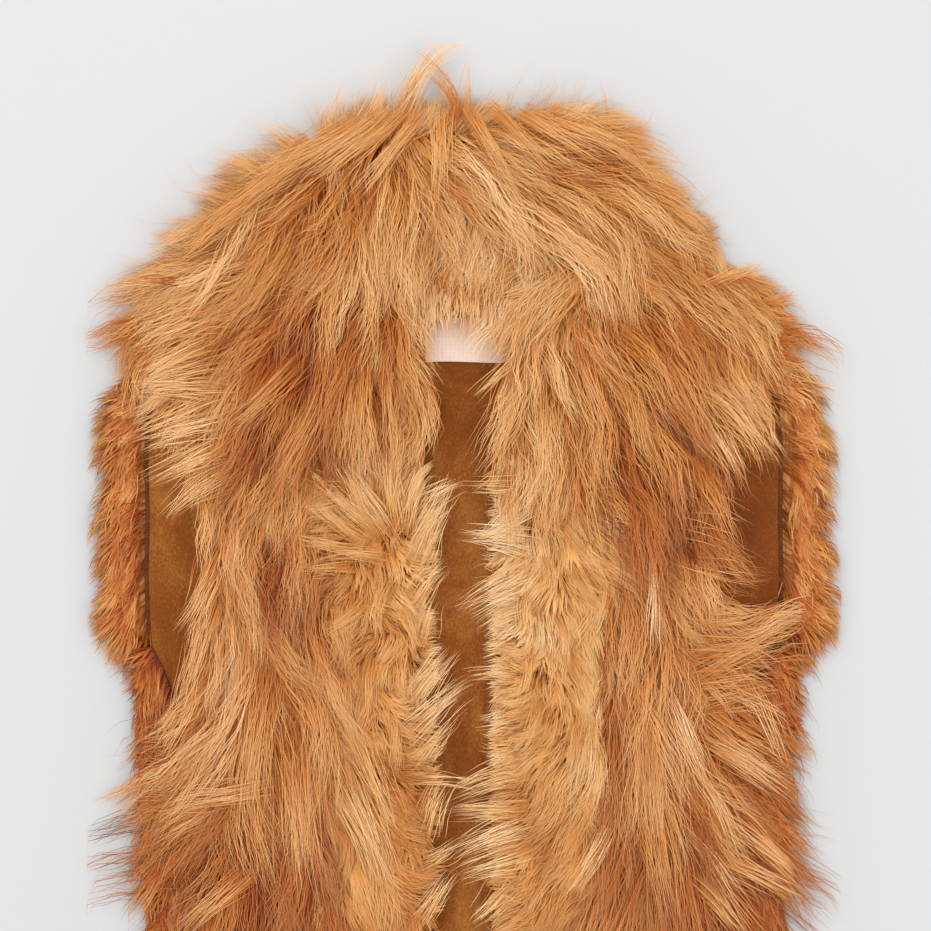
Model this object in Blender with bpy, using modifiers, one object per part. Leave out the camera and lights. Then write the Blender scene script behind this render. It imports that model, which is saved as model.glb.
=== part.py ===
"""A faux fur vest, laid on its back: the cloth pieces as cut, and the reach of their fur.

Metres, +Z up. The vest lies on z = 0, its middle line is the Y axis, its collar points to +Y
and its hem to -Y. Sizes below are in millimetres. Left is the -X side.
"""

import math
from typing import NamedTuple

import bpy

MM = 0.001
NAME = "faux_fur_vest"

# Layers, from the surface up
CLOTH = 2.0  # fur cloth without its pile
SUEDE = 1.2
COTTON = 0.8
SEAM = 0.3  # between neighbours
PRESSED_PILE = 14.0  # fur under the back
BACK_Z = PRESSED_PILE
LINING_Z = BACK_Z + CLOTH + SEAM
FRONT_Z = LINING_Z + SUEDE + SEAM
LAPEL_Z = FRONT_Z + CLOTH + SEAM
FOLD_Z = (BACK_Z + FRONT_Z + CLOTH) / 2  # middle of the side panels' folds

# Height of the free pile over its cloth
FRONT_PILE = 30.0
BAND_PILE = 26.0
LAPEL_PILE = 38.0
COLLAR_PILE = 38.0
SIDE_PILE = 24.0

# How far the pile reaches past a free edge of its cloth
RIM_REACH = 20.0
ARMHOLE_REACH = 8.0
OPENING_REACH = 7.0
BACK_REACH = 18.0

HEM_Y = -395.0
UNDERARM_Y = -30.0
BAND_EDGE = 97.0  # where front and front band are sewn together

LINING_INSET = 3.5  # inside the back's edges
LINING_FOLD_INSET = 5.0  # inside the side panels' folds
LINING_HEM_INSET = 6.0

COLLAR_DROP = 45.0  # the collar comes down to the surface over this distance
SLOPE_GAP = 0.9  # pile over the sloping collar cloth
LAPEL_GAP = 0.5  # front pile below the lapel
ARMHOLE_FADE = 25.0  # the front pile's reach grows over this height above the underarm

SIDE_FOOT = 12.0  # the side pile rests on this much cloth inside the fold
PILE_CORNER = 12.0  # the back pile steps in over this height above the side pile

LABEL_SIZE = (60.0, 30.0)
LABEL_MIDDLE = (4.0, 246.0)

RUST = (0.42, 0.17, 0.05, 1.0)
GOLD = (0.66, 0.36, 0.13, 1.0)
PALE_GOLD = (0.75, 0.45, 0.20, 1.0)
SUEDE_BROWN = (0.28, 0.10, 0.02, 1.0)
COTTON_WHITE = (0.82, 0.62, 0.55, 1.0)


class Edge(NamedTuple):
    """Half width of a symmetric piece at one height."""

    y: float
    x: float


class Strip(NamedTuple):
    """The two edges of a one-sided piece at one height."""

    y: float
    inner: float
    outer: float


class Line(NamedTuple):
    """A line over a one-sided piece, through its middle."""

    inner: tuple
    middle: tuple
    outer: tuple


class Ray(NamedTuple):
    """A line over the collar, from its neck seam to its rim."""

    seam: tuple
    rim: tuple


class Bulge(NamedTuple):
    """A corner of the side pile's outside, measured out from the fold and up from z = 0."""

    out: float
    z: float


# The back above the side panels: neck, shoulder and armhole
BACK_TOP = (
    Edge(y=268, x=80),
    Edge(y=262, x=104),
    Edge(y=250, x=154),
    Edge(y=237, x=207),
    Edge(y=205, x=214),
    Edge(y=170, x=217),
    Edge(y=130, x=216),
    Edge(y=90, x=217),
    Edge(y=60, x=216),
)

# The side panel: its seams with back and front lie over each other, and the fold is outside
SIDE = (
    Strip(y=38, inner=211, outer=216),
    Strip(y=25, inner=204, outer=215.5),
    Strip(y=5, inner=196, outer=213),
    Strip(y=UNDERARM_Y, inner=189, outer=210),
    Strip(y=-90, inner=183, outer=205),
    Strip(y=-149, inner=180, outer=202),
    Strip(y=-262, inner=181, outer=204),
    Strip(y=-330, inner=183, outer=207),
    Strip(y=HEM_Y, inner=185, outer=210),
)

# The front's armhole, down to the side panel
FRONT_TOP = (
    Edge(y=261, x=106),
    Edge(y=250, x=153),
    Edge(y=237, x=206),
    Edge(y=222, x=196),
    Edge(y=200, x=181),
    Edge(y=170, x=171),
    Edge(y=120, x=166),
    Edge(y=60, x=167),
    Edge(y=25, x=174),
    Edge(y=-5, x=182),
)

# The opening's edge of the front band, from the neck down
BAND = (
    Edge(y=258, x=72),
    Edge(y=240, x=52),
    Edge(y=215, x=36),
    Edge(y=190, x=29),
    Edge(y=160, x=27),
    Edge(y=60, x=28),
    Edge(y=-60, x=26),
    Edge(y=-149, x=28),
    Edge(y=-262, x=29),
    Edge(y=HEM_Y, x=31),
)

LAPEL = (
    Line(inner=(38, 268), middle=(80, 268), outer=(207, 237)),
    Line(inner=(33, 245), middle=(78, 243), outer=(196, 212)),
    Line(inner=(29, 220), middle=(76, 216), outer=(178, 190)),
    Line(inner=(27, 195), middle=(72, 190), outer=(158, 170)),
    Line(inner=(27, 172), middle=(66, 166), outer=(134, 155)),
    Line(inner=(30, 154), middle=(62, 149), outer=(108, 147)),
)

# Half of the collar's back, from the middle outwards
COLLAR = (
    Ray(seam=(0, 268), rim=(0, 395)),
    Ray(seam=(40, 268), rim=(62, 390)),
    Ray(seam=(80, 268), rim=(108, 366)),
    Ray(seam=(123, 257.5), rim=(150, 330)),
    Ray(seam=(165, 247.3), rim=(188, 290)),
    Ray(seam=(207, 237), rim=(214, 256)),
)

SIDE_BULGE = (
    Bulge(out=14, z=0),
    Bulge(out=RIM_REACH, z=12),
    Bulge(out=17, z=27),
    Bulge(out=6, z=38),
)
SIDE_SHOULDER = 0.92  # of the side pile's height, above the middle of the panel

# Where a patch has points across it, and how high its pile is there beside a free edge
ACROSS = (0.0, 0.06, 0.18, 0.4, 0.6, 0.82, 0.94, 1.0)
RISE = (0.2, 0.62, 0.92, 1.0)
COLLAR_ACROSS = (0.0, 0.1, 0.2, 0.3, 0.42, 0.7, 0.9, 1.0)


def clear_scene():
    for thing in list(bpy.data.objects):
        bpy.data.objects.remove(thing, do_unlink=True)


def new_collection(name):
    collection = bpy.data.collections.new(name)
    bpy.context.scene.collection.children.link(collection)
    return collection


def material(name, colour, roughness):
    made = bpy.data.materials.new(name)
    made.use_nodes = True
    shader = made.node_tree.nodes["Principled BSDF"]
    shader.inputs["Base Color"].default_value = colour
    shader.inputs["Roughness"].default_value = roughness
    shader.inputs["Metallic"].default_value = 0.0
    made.diffuse_color = colour
    return made


def mix(a, b, share):
    """The point that lies this share of the way from a to b."""
    return tuple(p + (q - p) * share for p, q in zip(a, b))


def along(points, share):
    """The point at this share of a line's corners."""
    place = share * (len(points) - 1)
    step = min(int(place), len(points) - 2)
    return mix(points[step], points[step + 1], place - step)


def grid_faces(rows, columns, first=0, flipped=False):
    """Quads over a grid of points that are numbered row by row."""
    faces = []
    for row in range(rows - 1):
        for column in range(columns - 1):
            corner = first + row * columns + column
            quad = (corner, corner + 1, corner + columns + 1, corner + columns)
            faces.append(quad[::-1] if flipped else quad)
    return faces


def add_object(name, points, faces, finish, collection):
    mesh = bpy.data.meshes.new(name)
    mesh.from_pydata([tuple(c * MM for c in point) for point in points], [], faces)
    mesh.validate()
    made = bpy.data.objects.new(name, mesh)
    made.data.materials.append(finish)
    collection.objects.link(made)
    return made


def wall(name, rows, thickness, finish, collection):
    """A cloth wall: an open surface at the cloth's lower face, made solid upwards.

    Each row runs towards +X and the rows run towards -Y, so the faces look down.
    """
    points = [point for row in rows for point in row]
    faces = grid_faces(len(rows), len(rows[0]))
    made = add_object(name, points, faces, finish, collection)
    solid = made.modifiers.new("cloth", "SOLIDIFY")
    solid.thickness = thickness * MM
    solid.offset = -1.0
    solid.use_even_offset = True
    return made


def block(name, lower, upper, finish, collection):
    """A closed solid between two surfaces with the same rows and columns."""
    count, columns = len(lower), len(lower[0])
    points = [point for surface in (lower, upper) for row in surface for point in row]
    top = count * columns
    faces = grid_faces(count, columns)
    faces += grid_faces(count, columns, top, flipped=True)
    ring = list(range(columns))
    ring += [row * columns + columns - 1 for row in range(1, count)]
    ring += [(count - 1) * columns + column for column in range(columns - 2, -1, -1)]
    ring += [row * columns for row in range(count - 2, 0, -1)]
    for a, b in zip(ring, ring[1:] + ring[:1]):
        faces.append((b, a, top + a, top + b))
    return add_object(name, points, faces, finish, collection)


def tube(name, sections, finish, collection):
    """A closed solid through like sections, which run towards -Y."""
    corners = len(sections[0])
    points = [point for section in sections for point in section]
    faces = [tuple(range(corners - 1, -1, -1))]
    for row in range(len(sections) - 1):
        for corner in range(corners):
            following = (corner + 1) % corners
            a, b = row * corners + corner, row * corners + following
            faces.append((a, b, b + corners, a + corners))
    last = (len(sections) - 1) * corners
    faces.append(tuple(range(last, last + corners)))
    return add_object(name, points, faces, finish, collection)


def mirrored(rows):
    """Rows of the right-hand piece as the left-hand one's, still running towards +X."""
    return [[(-x, y, z) for x, y, z in reversed(row)] for row in rows]


def across(start, end, z, shares):
    """A straight row of points from start to end."""
    return [(*mix(start, end, share), z) for share in shares]


def full_rows(edges, z):
    """Rows over a symmetric piece."""
    return [across((-e.x, e.y), (e.x, e.y), z, (0.0, 0.25, 0.5, 0.75, 1.0)) for e in edges]


def strip_rows(strips, z, shares):
    return [across((s.inner, s.y), (s.outer, s.y), z, shares) for s in strips]


def back_edges():
    """The back's outline, down to the hem along its seam with the side panels."""
    below = tuple(Edge(y=s.y, x=s.inner - SEAM) for s in SIDE)
    return BACK_TOP + below


def lining_edges():
    """The lining stops short of the back's edges, and below the armholes it lies in the folds."""
    above = tuple(Edge(y=e.y - LINING_INSET, x=e.x - LINING_INSET) for e in BACK_TOP)
    below = [Edge(y=s.y, x=s.outer - LINING_FOLD_INSET) for s in SIDE]
    below[-1] = below[-1]._replace(y=HEM_Y + LINING_HEM_INSET)
    return above + tuple(below)


def back_pile_edges():
    """The pressed pile's outline: past the cloth at the armholes and the hem only."""
    shoulders = BACK_TOP[:4]
    arms = tuple(e._replace(x=e.x + BACK_REACH) for e in BACK_TOP[4:])
    below = tuple(Edge(y=s.y, x=s.outer - SIDE_FOOT - SEAM) for s in SIDE)
    turn = (
        Edge(y=SIDE[0].y + PILE_CORNER, x=arms[-1].x),
        Edge(y=SIDE[0].y + 1.0, x=below[0].x),
    )
    return shoulders + arms + turn + below + (Edge(y=HEM_Y - RIM_REACH, x=below[-1].x),)


def front_strips():
    above = tuple(Strip(y=e.y, inner=BAND_EDGE + SEAM, outer=e.x) for e in FRONT_TOP)
    sides = [strip for strip in SIDE if strip.y <= UNDERARM_Y]
    below = tuple(Strip(y=s.y, inner=BAND_EDGE + SEAM, outer=s.inner - SEAM) for s in sides)
    return above + below


def band_strips():
    top = (Strip(y=263.5, inner=84.0, outer=BAND_EDGE),)
    return top + tuple(Strip(y=e.y, inner=e.x, outer=BAND_EDGE) for e in BAND)


def front_pile_strips():
    """Where the front's fur is free: below the lapel, whose lower edge is its upper one."""
    corners = [(line.outer[0] + LAPEL_GAP, line.outer[1] - LAPEL_GAP) for line in LAPEL[2:]]
    corners.append((BAND_EDGE + SEAM, corners[-1][1] - LAPEL_GAP))
    fronts = front_strips()
    beside = [Strip(y=y, inner=x, outer=armhole_x(fronts, y)) for x, y in corners]
    below = [strip for strip in fronts if strip.y < beside[-1].y]
    return beside + below + [below[-1]._replace(y=HEM_Y - RIM_REACH)]


def armhole_x(strips, y):
    """The outer edge of a row of strips at this height."""
    for upper, lower in zip(strips, strips[1:]):
        if upper.y >= y >= lower.y:
            share = (upper.y - y) / (upper.y - lower.y)
            return upper.outer + (lower.outer - upper.outer) * share
    raise ValueError(f"no strip at {y}")


def past_armhole(strips):
    """The front pile reaches past the armhole's edge, and stops at the side panel's seam."""
    made = []
    for strip in strips:
        share = min(1.0, max(0.0, (strip.y - UNDERARM_Y) / ARMHOLE_FADE))
        made.append(strip._replace(outer=strip.outer + ARMHOLE_REACH * share))
    return made


def domed(rows, height, free_sides):
    """The upper surface of a pile: full height, and rounded down beside its free sides.

    free_sides names first, last, inner and outer: the sides of rows as given.
    """
    def rise(steps_in):
        return RISE[min(steps_in, len(RISE) - 1)]

    count, columns = len(rows), len(rows[0])
    upper = []
    for r, row in enumerate(rows):
        line = []
        for c, (x, y, z) in enumerate(row):
            share = 1.0
            if "first" in free_sides:
                share = min(share, rise(r))
            if "last" in free_sides:
                share = min(share, rise(count - 1 - r))
            if "inner" in free_sides:
                share = min(share, rise(c))
            if "outer" in free_sides:
                share = min(share, rise(columns - 1 - c))
            line.append((x, y, z + height * share))
        upper.append(line)
    return upper


def lapel_rows(z, reach=0.0):
    """Rows over the right lapel, from the shoulder seam down to its lower end."""
    rows = []
    for line in LAPEL:
        inner = (line.inner[0] - reach, line.inner[1])
        corners = (inner, line.middle, line.outer)
        rows.append([(*along(corners, share), z) for share in ACROSS])
    return rows


def collar_rays():
    """The collar's rays from left to right."""
    left = [
        Ray(seam=(-ray.seam[0], ray.seam[1]), rim=(-ray.rim[0], ray.rim[1]))
        for ray in reversed(COLLAR[1:])
    ]
    return left + list(COLLAR)


def collar_height(distance):
    """The lower face of the collar's cloth, from the neck seam out to the surface."""
    share = min(1.0, distance / COLLAR_DROP)
    return LAPEL_Z * (0.5 + 0.5 * math.cos(math.pi * share))


def collar_rows(reach=0.0, lift=0.0):
    """Rows from the rim to the neck seam, each running towards +X."""
    rows = []
    for share in reversed(COLLAR_ACROSS):
        row = []
        for ray in collar_rays():
            seam = (ray.seam[0], ray.seam[1] + SEAM)
            x, y = mix(seam, ray.rim, share)
            length = math.dist(seam, ray.rim)
            z = collar_height(share * length) + lift
            if share == 1.0 and reach:
                out_x = (ray.rim[0] - seam[0]) / length
                out_y = (ray.rim[1] - seam[1]) / length
                x, y = x + out_x * reach, y + out_y * reach
            row.append((x, y, z))
        rows.append(row)
    return rows


def arc(centre_x, centre_z, radius, steps):
    """Half a turn round the fold, from under it to over it."""
    turns = [math.pi * (step / steps - 0.5) for step in range(steps + 1)]
    return [(centre_x + radius * math.cos(a), centre_z + radius * math.sin(a)) for a in turns]


def fold_section(strip):
    """The side panel's cloth across its fold, as a closed outline at one height."""
    inner_r = (FRONT_Z - BACK_Z - CLOTH) / 2
    outer_r = inner_r + CLOTH
    outside = arc(strip.outer - outer_r, FOLD_Z, outer_r, 6)
    inside = arc(strip.outer - outer_r, FOLD_Z, inner_r, 6)
    outline = [(strip.inner, BACK_Z)] + outside + [(strip.inner, FRONT_Z + CLOTH)]
    outline += [(strip.inner, FRONT_Z)] + inside[::-1] + [(strip.inner, BACK_Z + CLOTH)]
    return [(x, strip.y, z) for x, z in outline]


def side_pile_section(strip):
    """The fur round the fold: under it, outside it and over it up to the front's seam."""
    cloth_r = (FRONT_Z - BACK_Z + CLOTH) / 2
    clear_r = cloth_r + 2 * SEAM
    fold = arc(strip.outer - cloth_r, FOLD_Z, clear_r, 4)
    foot = strip.outer - SIDE_FOOT
    top_z = FOLD_Z + clear_r
    seam = strip.inner + SEAM
    shoulder = ((strip.inner + strip.outer) / 2, top_z + SIDE_PILE * SIDE_SHOULDER)
    outline = [(foot, 0.0)]
    outline += [(strip.outer + bulge.out, bulge.z) for bulge in SIDE_BULGE]
    outline += [shoulder, (seam, top_z + SIDE_PILE), (seam, top_z)]
    outline += fold[::-1] + [(foot, FOLD_Z - clear_r)]
    return [(x, strip.y, z) for x, z in outline]


def right_to_left(sections):
    """Sections of the right-hand solid as the left-hand one's, turning the same way."""
    return [[(-x, y, z) for x, y, z in reversed(section)] for section in sections]


def both_sides(build, name, parts, *rest):
    """Builds a right-hand piece and its mirror image."""
    build(f"{name}_right", *parts, *rest)
    build(f"{name}_left", *(mirrored(part) for part in parts), *rest)


def build_back(collection):
    rust = material("back_cloth", RUST, 0.8)
    wall("back", full_rows(back_edges(), BACK_Z), CLOTH, rust, collection)
    pile = material("back_fur", GOLD, 0.7)
    pressed = full_rows(back_pile_edges(), 0.0)
    wall("back_pile", pressed, PRESSED_PILE - SEAM, pile, collection)


def build_lining(collection):
    suede = material("lining_suede", SUEDE_BROWN, 0.9)
    wall("back_lining", full_rows(lining_edges(), LINING_Z), SUEDE, suede, collection)


def build_label(collection):
    cotton = material("label_cotton", COTTON_WHITE, 0.85)
    half_x, half_y = LABEL_SIZE[0] / 2, LABEL_SIZE[1] / 2
    rows = []
    for y in (LABEL_MIDDLE[1] + half_y, LABEL_MIDDLE[1] - half_y):
        rows.append([(LABEL_MIDDLE[0] + side, y, FRONT_Z) for side in (-half_x, half_x)])
    wall("neck_label", rows, COTTON, cotton, collection)


def build_sides(collection):
    cloth = material("side_cloth", RUST, 0.8)
    pile = material("side_fur", GOLD, 0.7)
    sections = [fold_section(strip) for strip in SIDE]
    tube("side_panel_right", sections, cloth, collection)
    tube("side_panel_left", right_to_left(sections), cloth, collection)
    past_hem = SIDE[-1]._replace(y=HEM_Y - RIM_REACH)
    sections = [side_pile_section(strip) for strip in SIDE + (past_hem,)]
    tube("side_pile_right", sections, pile, collection)
    tube("side_pile_left", right_to_left(sections), pile, collection)


def build_fronts(collection):
    cloth = material("front_cloth", RUST, 0.8)
    rows = strip_rows(front_strips(), FRONT_Z, (0.0, 0.5, 1.0))
    both_sides(wall, "front", (rows,), CLOTH, cloth, collection)
    pile = material("front_fur", GOLD, 0.7)
    strips = past_armhole(front_pile_strips())
    lower = strip_rows(strips, FRONT_Z + CLOTH + SEAM, ACROSS)
    upper = domed(lower, FRONT_PILE, ("last",))
    both_sides(block, "front_pile", (lower, upper), pile, collection)


def build_bands(collection):
    cloth = material("band_cloth", RUST, 0.8)
    strips = band_strips()
    rows = strip_rows(strips, FRONT_Z, (0.0, 0.5, 1.0))
    both_sides(wall, "front_band", (rows,), CLOTH, cloth, collection)
    pile = material("band_fur", PALE_GOLD, 0.7)
    top_y = LAPEL[-1].outer[1] - 2 * LAPEL_GAP
    free = [strip for strip in strips if strip.y < top_y]
    free.insert(0, free[0]._replace(y=top_y))
    free.append(free[-1]._replace(y=HEM_Y - RIM_REACH))
    free = [strip._replace(inner=strip.inner - OPENING_REACH) for strip in free]
    lower = strip_rows(free, FRONT_Z + CLOTH + SEAM, ACROSS)
    upper = domed(lower, BAND_PILE, ("inner", "last"))
    both_sides(block, "band_pile", (lower, upper), pile, collection)


def build_lapels(collection):
    cloth = material("lapel_cloth", RUST, 0.8)
    both_sides(wall, "lapel", (lapel_rows(LAPEL_Z),), CLOTH, cloth, collection)
    pile = material("lapel_fur", GOLD, 0.7)
    lower = lapel_rows(LAPEL_Z + CLOTH + SEAM, OPENING_REACH)
    upper = domed(lower, LAPEL_PILE, ("inner", "last"))
    both_sides(block, "lapel_pile", (lower, upper), pile, collection)


def build_collar(collection):
    cloth = material("collar_cloth", RUST, 0.8)
    wall("collar_back", collar_rows(), CLOTH, cloth, collection)
    pile = material("collar_fur", GOLD, 0.7)
    lower = collar_rows(RIM_REACH, CLOTH + SLOPE_GAP)
    upper = domed(lower, COLLAR_PILE, ("first",))
    block("collar_pile", lower, upper, pile, collection)


def main():
    clear_scene()
    collection = new_collection(NAME)
    build_back(collection)
    build_lining(collection)
    build_label(collection)
    build_sides(collection)
    build_fronts(collection)
    build_bands(collection)
    build_lapels(collection)
    build_collar(collection)


main()
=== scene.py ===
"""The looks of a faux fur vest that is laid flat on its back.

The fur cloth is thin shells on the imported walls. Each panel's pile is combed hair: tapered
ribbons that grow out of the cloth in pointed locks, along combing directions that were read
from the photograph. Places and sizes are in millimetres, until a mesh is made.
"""

import logging
import math
from dataclasses import dataclass, replace
from enum import Enum

import bpy
import numpy as np
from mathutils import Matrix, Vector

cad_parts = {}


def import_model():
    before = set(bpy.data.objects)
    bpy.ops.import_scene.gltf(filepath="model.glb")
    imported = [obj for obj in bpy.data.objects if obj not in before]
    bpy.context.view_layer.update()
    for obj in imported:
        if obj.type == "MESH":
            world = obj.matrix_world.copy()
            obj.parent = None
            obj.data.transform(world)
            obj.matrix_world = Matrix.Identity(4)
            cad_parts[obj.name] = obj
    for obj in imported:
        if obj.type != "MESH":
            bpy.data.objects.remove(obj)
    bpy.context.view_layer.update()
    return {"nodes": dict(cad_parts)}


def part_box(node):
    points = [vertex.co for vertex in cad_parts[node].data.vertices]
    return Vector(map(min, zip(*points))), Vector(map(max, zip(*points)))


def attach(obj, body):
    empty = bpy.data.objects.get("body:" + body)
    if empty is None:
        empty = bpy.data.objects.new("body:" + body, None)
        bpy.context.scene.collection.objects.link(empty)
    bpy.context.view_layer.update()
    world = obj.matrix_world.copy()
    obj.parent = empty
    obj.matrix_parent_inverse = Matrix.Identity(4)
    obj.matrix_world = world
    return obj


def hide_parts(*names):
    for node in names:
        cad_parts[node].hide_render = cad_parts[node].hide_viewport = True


MM = 0.001
LOG = logging.getLogger("faux_fur_vest")
HAIR_MAP = "OFBake"
SIDES = ("left", "right")
WAVE_TURN = math.tau / 20  # a Wave texture of scale 1 repeats after this
MM2_PER_CM2 = 100
LEVEL = 0.3  # of a normal: from here its face counts as looking up or down
SHORTEST = 1e-6  # a vector's length, and below it no direction is worked out
NO_AREA = 1e-9


def linear(hex_colour: str) -> tuple[float, float, float, float]:
    """Turns an sRGB hex colour into Blender's linear one.

    Args:
        hex_colour: A # and six digits.

    Returns:
        Linear red, green, blue and an alpha of 1.
    """
    shares = [int(hex_colour[i : i + 2], 16) / 255 for i in (1, 3, 5)]
    red, green, blue = (
        s / 12.92 if s <= 0.04045 else ((s + 0.055) / 1.055) ** 2.4 for s in shares
    )
    return (red, green, blue, 1.0)


class Bench:
    """A new material, and the short calls that its finish is made with."""

    def __init__(self, name: str, constants: dict) -> None:
        """Makes the material, with its constants on its shader's own sockets.

        Args:
            name: The finish's name.
            constants: Values of the Principled shader's sockets, by name.
        """
        self.material = bpy.data.materials.new(name)
        self.material.use_nodes = True
        self.tree = self.material.node_tree
        self.shader = self.tree.nodes["Principled BSDF"]
        for socket, value in constants.items():
            self.shader.inputs[socket].default_value = value

    def add_node(
        self, kind: str, output: str, links: dict, **settings: object
    ) -> bpy.types.NodeSocket:
        """Adds one node with its settings and its inputs.

        Args:
            kind: The node's type, after ShaderNode.
            output: The name of its output that is used.
            links: For each input's name or number, a value or the socket that feeds it.
            settings: Attributes of the node.

        Returns:
            That output.
        """
        node = self.tree.nodes.new(f"ShaderNode{kind}")
        for name, value in settings.items():
            setattr(node, name, value)
        for name, value in links.items():
            if isinstance(value, bpy.types.NodeSocket):
                self.tree.links.new(value, node.inputs[name])
            else:
                node.inputs[name].default_value = value
        return node.outputs[output]

    def place(self) -> bpy.types.NodeSocket:
        """Adds the place on the piece, in metres."""
        return self.add_node("TexCoord", "Object", {})

    def squeezed(self, shares: tuple[float, float, float]) -> bpy.types.NodeSocket:
        """Adds the place with its axes squeezed, for a grain that runs one way."""
        return self.add_node("Mapping", "Vector", {"Vector": self.place(), "Scale": shares})

    def noise(
        self, place: bpy.types.NodeSocket, scale: float, **inputs: float
    ) -> bpy.types.NodeSocket:
        """Adds noise with this many grains to a metre."""
        return self.add_node("TexNoise", "Fac", {"Vector": place, "Scale": scale, **inputs})

    def rows(
        self, place: bpy.types.NodeSocket, step_mm: float, axis: str, **inputs: float
    ) -> bpy.types.NodeSocket:
        """Adds rows of thread that follow each other along an axis."""
        links = {"Vector": place, "Scale": WAVE_TURN / (step_mm * MM), **inputs}
        return self.add_node("TexWave", "Color", links, bands_direction=axis)

    def mix(
        self, blend: str, share: object, one: bpy.types.NodeSocket, two: object
    ) -> bpy.types.NodeSocket:
        """Mixes two colours by a share of the second."""
        links = {"Fac": share, "Color1": one, "Color2": two}
        return self.add_node("MixRGB", "Color", links, blend_type=blend)

    def ramp(self, share: bpy.types.NodeSocket, stops: tuple) -> bpy.types.NodeSocket:
        """Adds a colour ramp.

        Args:
            share: What is turned into a colour.
            stops: Places on the ramp with their hex colours.

        Returns:
            The colour.
        """
        ramped = self.add_node("ValToRGB", "Color", {"Fac": share})
        elements = ramped.node.color_ramp.elements
        while len(elements) < len(stops):
            elements.new(0.5)
        for element, (place, colour) in zip(elements, stops):
            element.position = place
            element.color = linear(colour)
        return ramped

    def bump(self, height: bpy.types.NodeSocket, strength: float, depth_mm: float) -> None:
        """Gives the surface its relief."""
        links = {"Height": height, "Strength": strength, "Distance": depth_mm * MM}
        self.tree.links.new(self.add_node("Bump", "Normal", links), self.shader.inputs["Normal"])

    def coloured(self, colour: bpy.types.NodeSocket) -> bpy.types.Material:
        """Gives the surface its colour, and hands over the finished material."""
        self.tree.links.new(colour, self.shader.inputs["Base Color"])
        return self.material


@dataclass(frozen=True)
class FurFinish:
    """Modacrylic faux fur: fine soft fibres, pale at their tips, with painted shade that darkens them
    down in the pile.

    The hair's own map carries its tone across and its length upwards, so the colour follows
    each fibre wherever it bends.
    """

    name: str
    tones: tuple
    # painted shade: each hair is darkened towards its root, as if shaded deep in the pile
    shade: tuple = ((0.0, "#c99666"), (0.25, "#e4bf97"), (0.62, "#ffffff"))
    tip: str = "#eeca9a"
    tip_start: float = 0.45  # of a hair's length
    tip_share: float = 0.46  # of the palest hair; rust hair keeps its colour

    def make(self) -> bpy.types.Material:
        """Builds the material."""
        bench = Bench(
            self.name,
            {
                "Roughness": 0.55,
                "Specular IOR Level": 0.22,
                "Sheen Weight": 0.06,
                "Sheen Roughness": 0.5,
                "Sheen Tint": linear("#ffc684"),
            },
        )
        place = bench.add_node("UVMap", "UV", {}, uv_map=HAIR_MAP)
        across = bench.add_node("SeparateXYZ", "X", {"Vector": place})
        along = across.node.outputs["Y"]
        body = bench.ramp(across, self.tones)
        # painted shade: the ramp along each hair darkens it towards its root
        shaded = bench.mix("MULTIPLY", 1.0, body, bench.ramp(along, self.shade))
        end = bench.add_node(
            "MapRange",
            "Result",
            {"Value": along, "From Min": self.tip_start, "From Max": 1.0, "To Max": self.tip_share},
            interpolation_type="SMOOTHSTEP",
        )
        share = bench.add_node("Math", "Value", {0: end, 1: across}, operation="MULTIPLY")
        return bench.coloured(bench.mix("MIX", share, shaded, linear(self.tip)))


@dataclass(frozen=True)
class PressedFinish:
    """The back's faux fur where the vest lies on it: long fibres pressed flat, tips down."""

    name: str = "pressed_fur"
    deep: str = "#7c4418"
    light: str = "#bb7f40"
    strand_mm: float = 2.0
    squeeze: tuple[float, float, float] = (1.0, 0.07, 0.3)

    def make(self) -> bpy.types.Material:
        """Builds the material."""
        bench = Bench(self.name, {"Roughness": 0.6, "Specular IOR Level": 0.2})
        place = bench.squeezed(self.squeeze)
        strands = bench.noise(place, 1 / (self.strand_mm * MM), Detail=4.0, Distortion=0.6)
        bench.bump(strands, 0.7, 1.0)
        return bench.coloured(bench.ramp(strands, ((0.3, self.deep), (0.7, self.light))))


@dataclass(frozen=True)
class KnitFinish:
    """Knitted polyester ground of the fur: rows of fine loops with a fuzz of cut fibre."""

    name: str = "fur_knit_ground"
    # deep and light are partly the knit's own colour and partly painted shade: the knit's dark edge at
    # the armholes stands in for the shadow line there
    deep: str = "#38190a"
    light: str = "#6a3c1c"
    loop_mm: float = 1.4
    fuzz_per_metre: float = 260.0

    def make(self) -> bpy.types.Material:
        """Builds the material."""
        bench = Bench(self.name, {"Roughness": 0.9, "Specular IOR Level": 0.1})
        place = bench.place()
        loops = bench.rows(place, self.loop_mm, "Y", Distortion=2.0, Detail=2.0)
        fuzz = bench.noise(place, self.fuzz_per_metre, Detail=4.0)
        mixed = bench.mix("MULTIPLY", 0.6, fuzz, loops)
        bench.bump(mixed, 0.5, 0.4)
        return bench.coloured(bench.ramp(mixed, ((0.1, self.deep), (0.6, self.light))))


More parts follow.
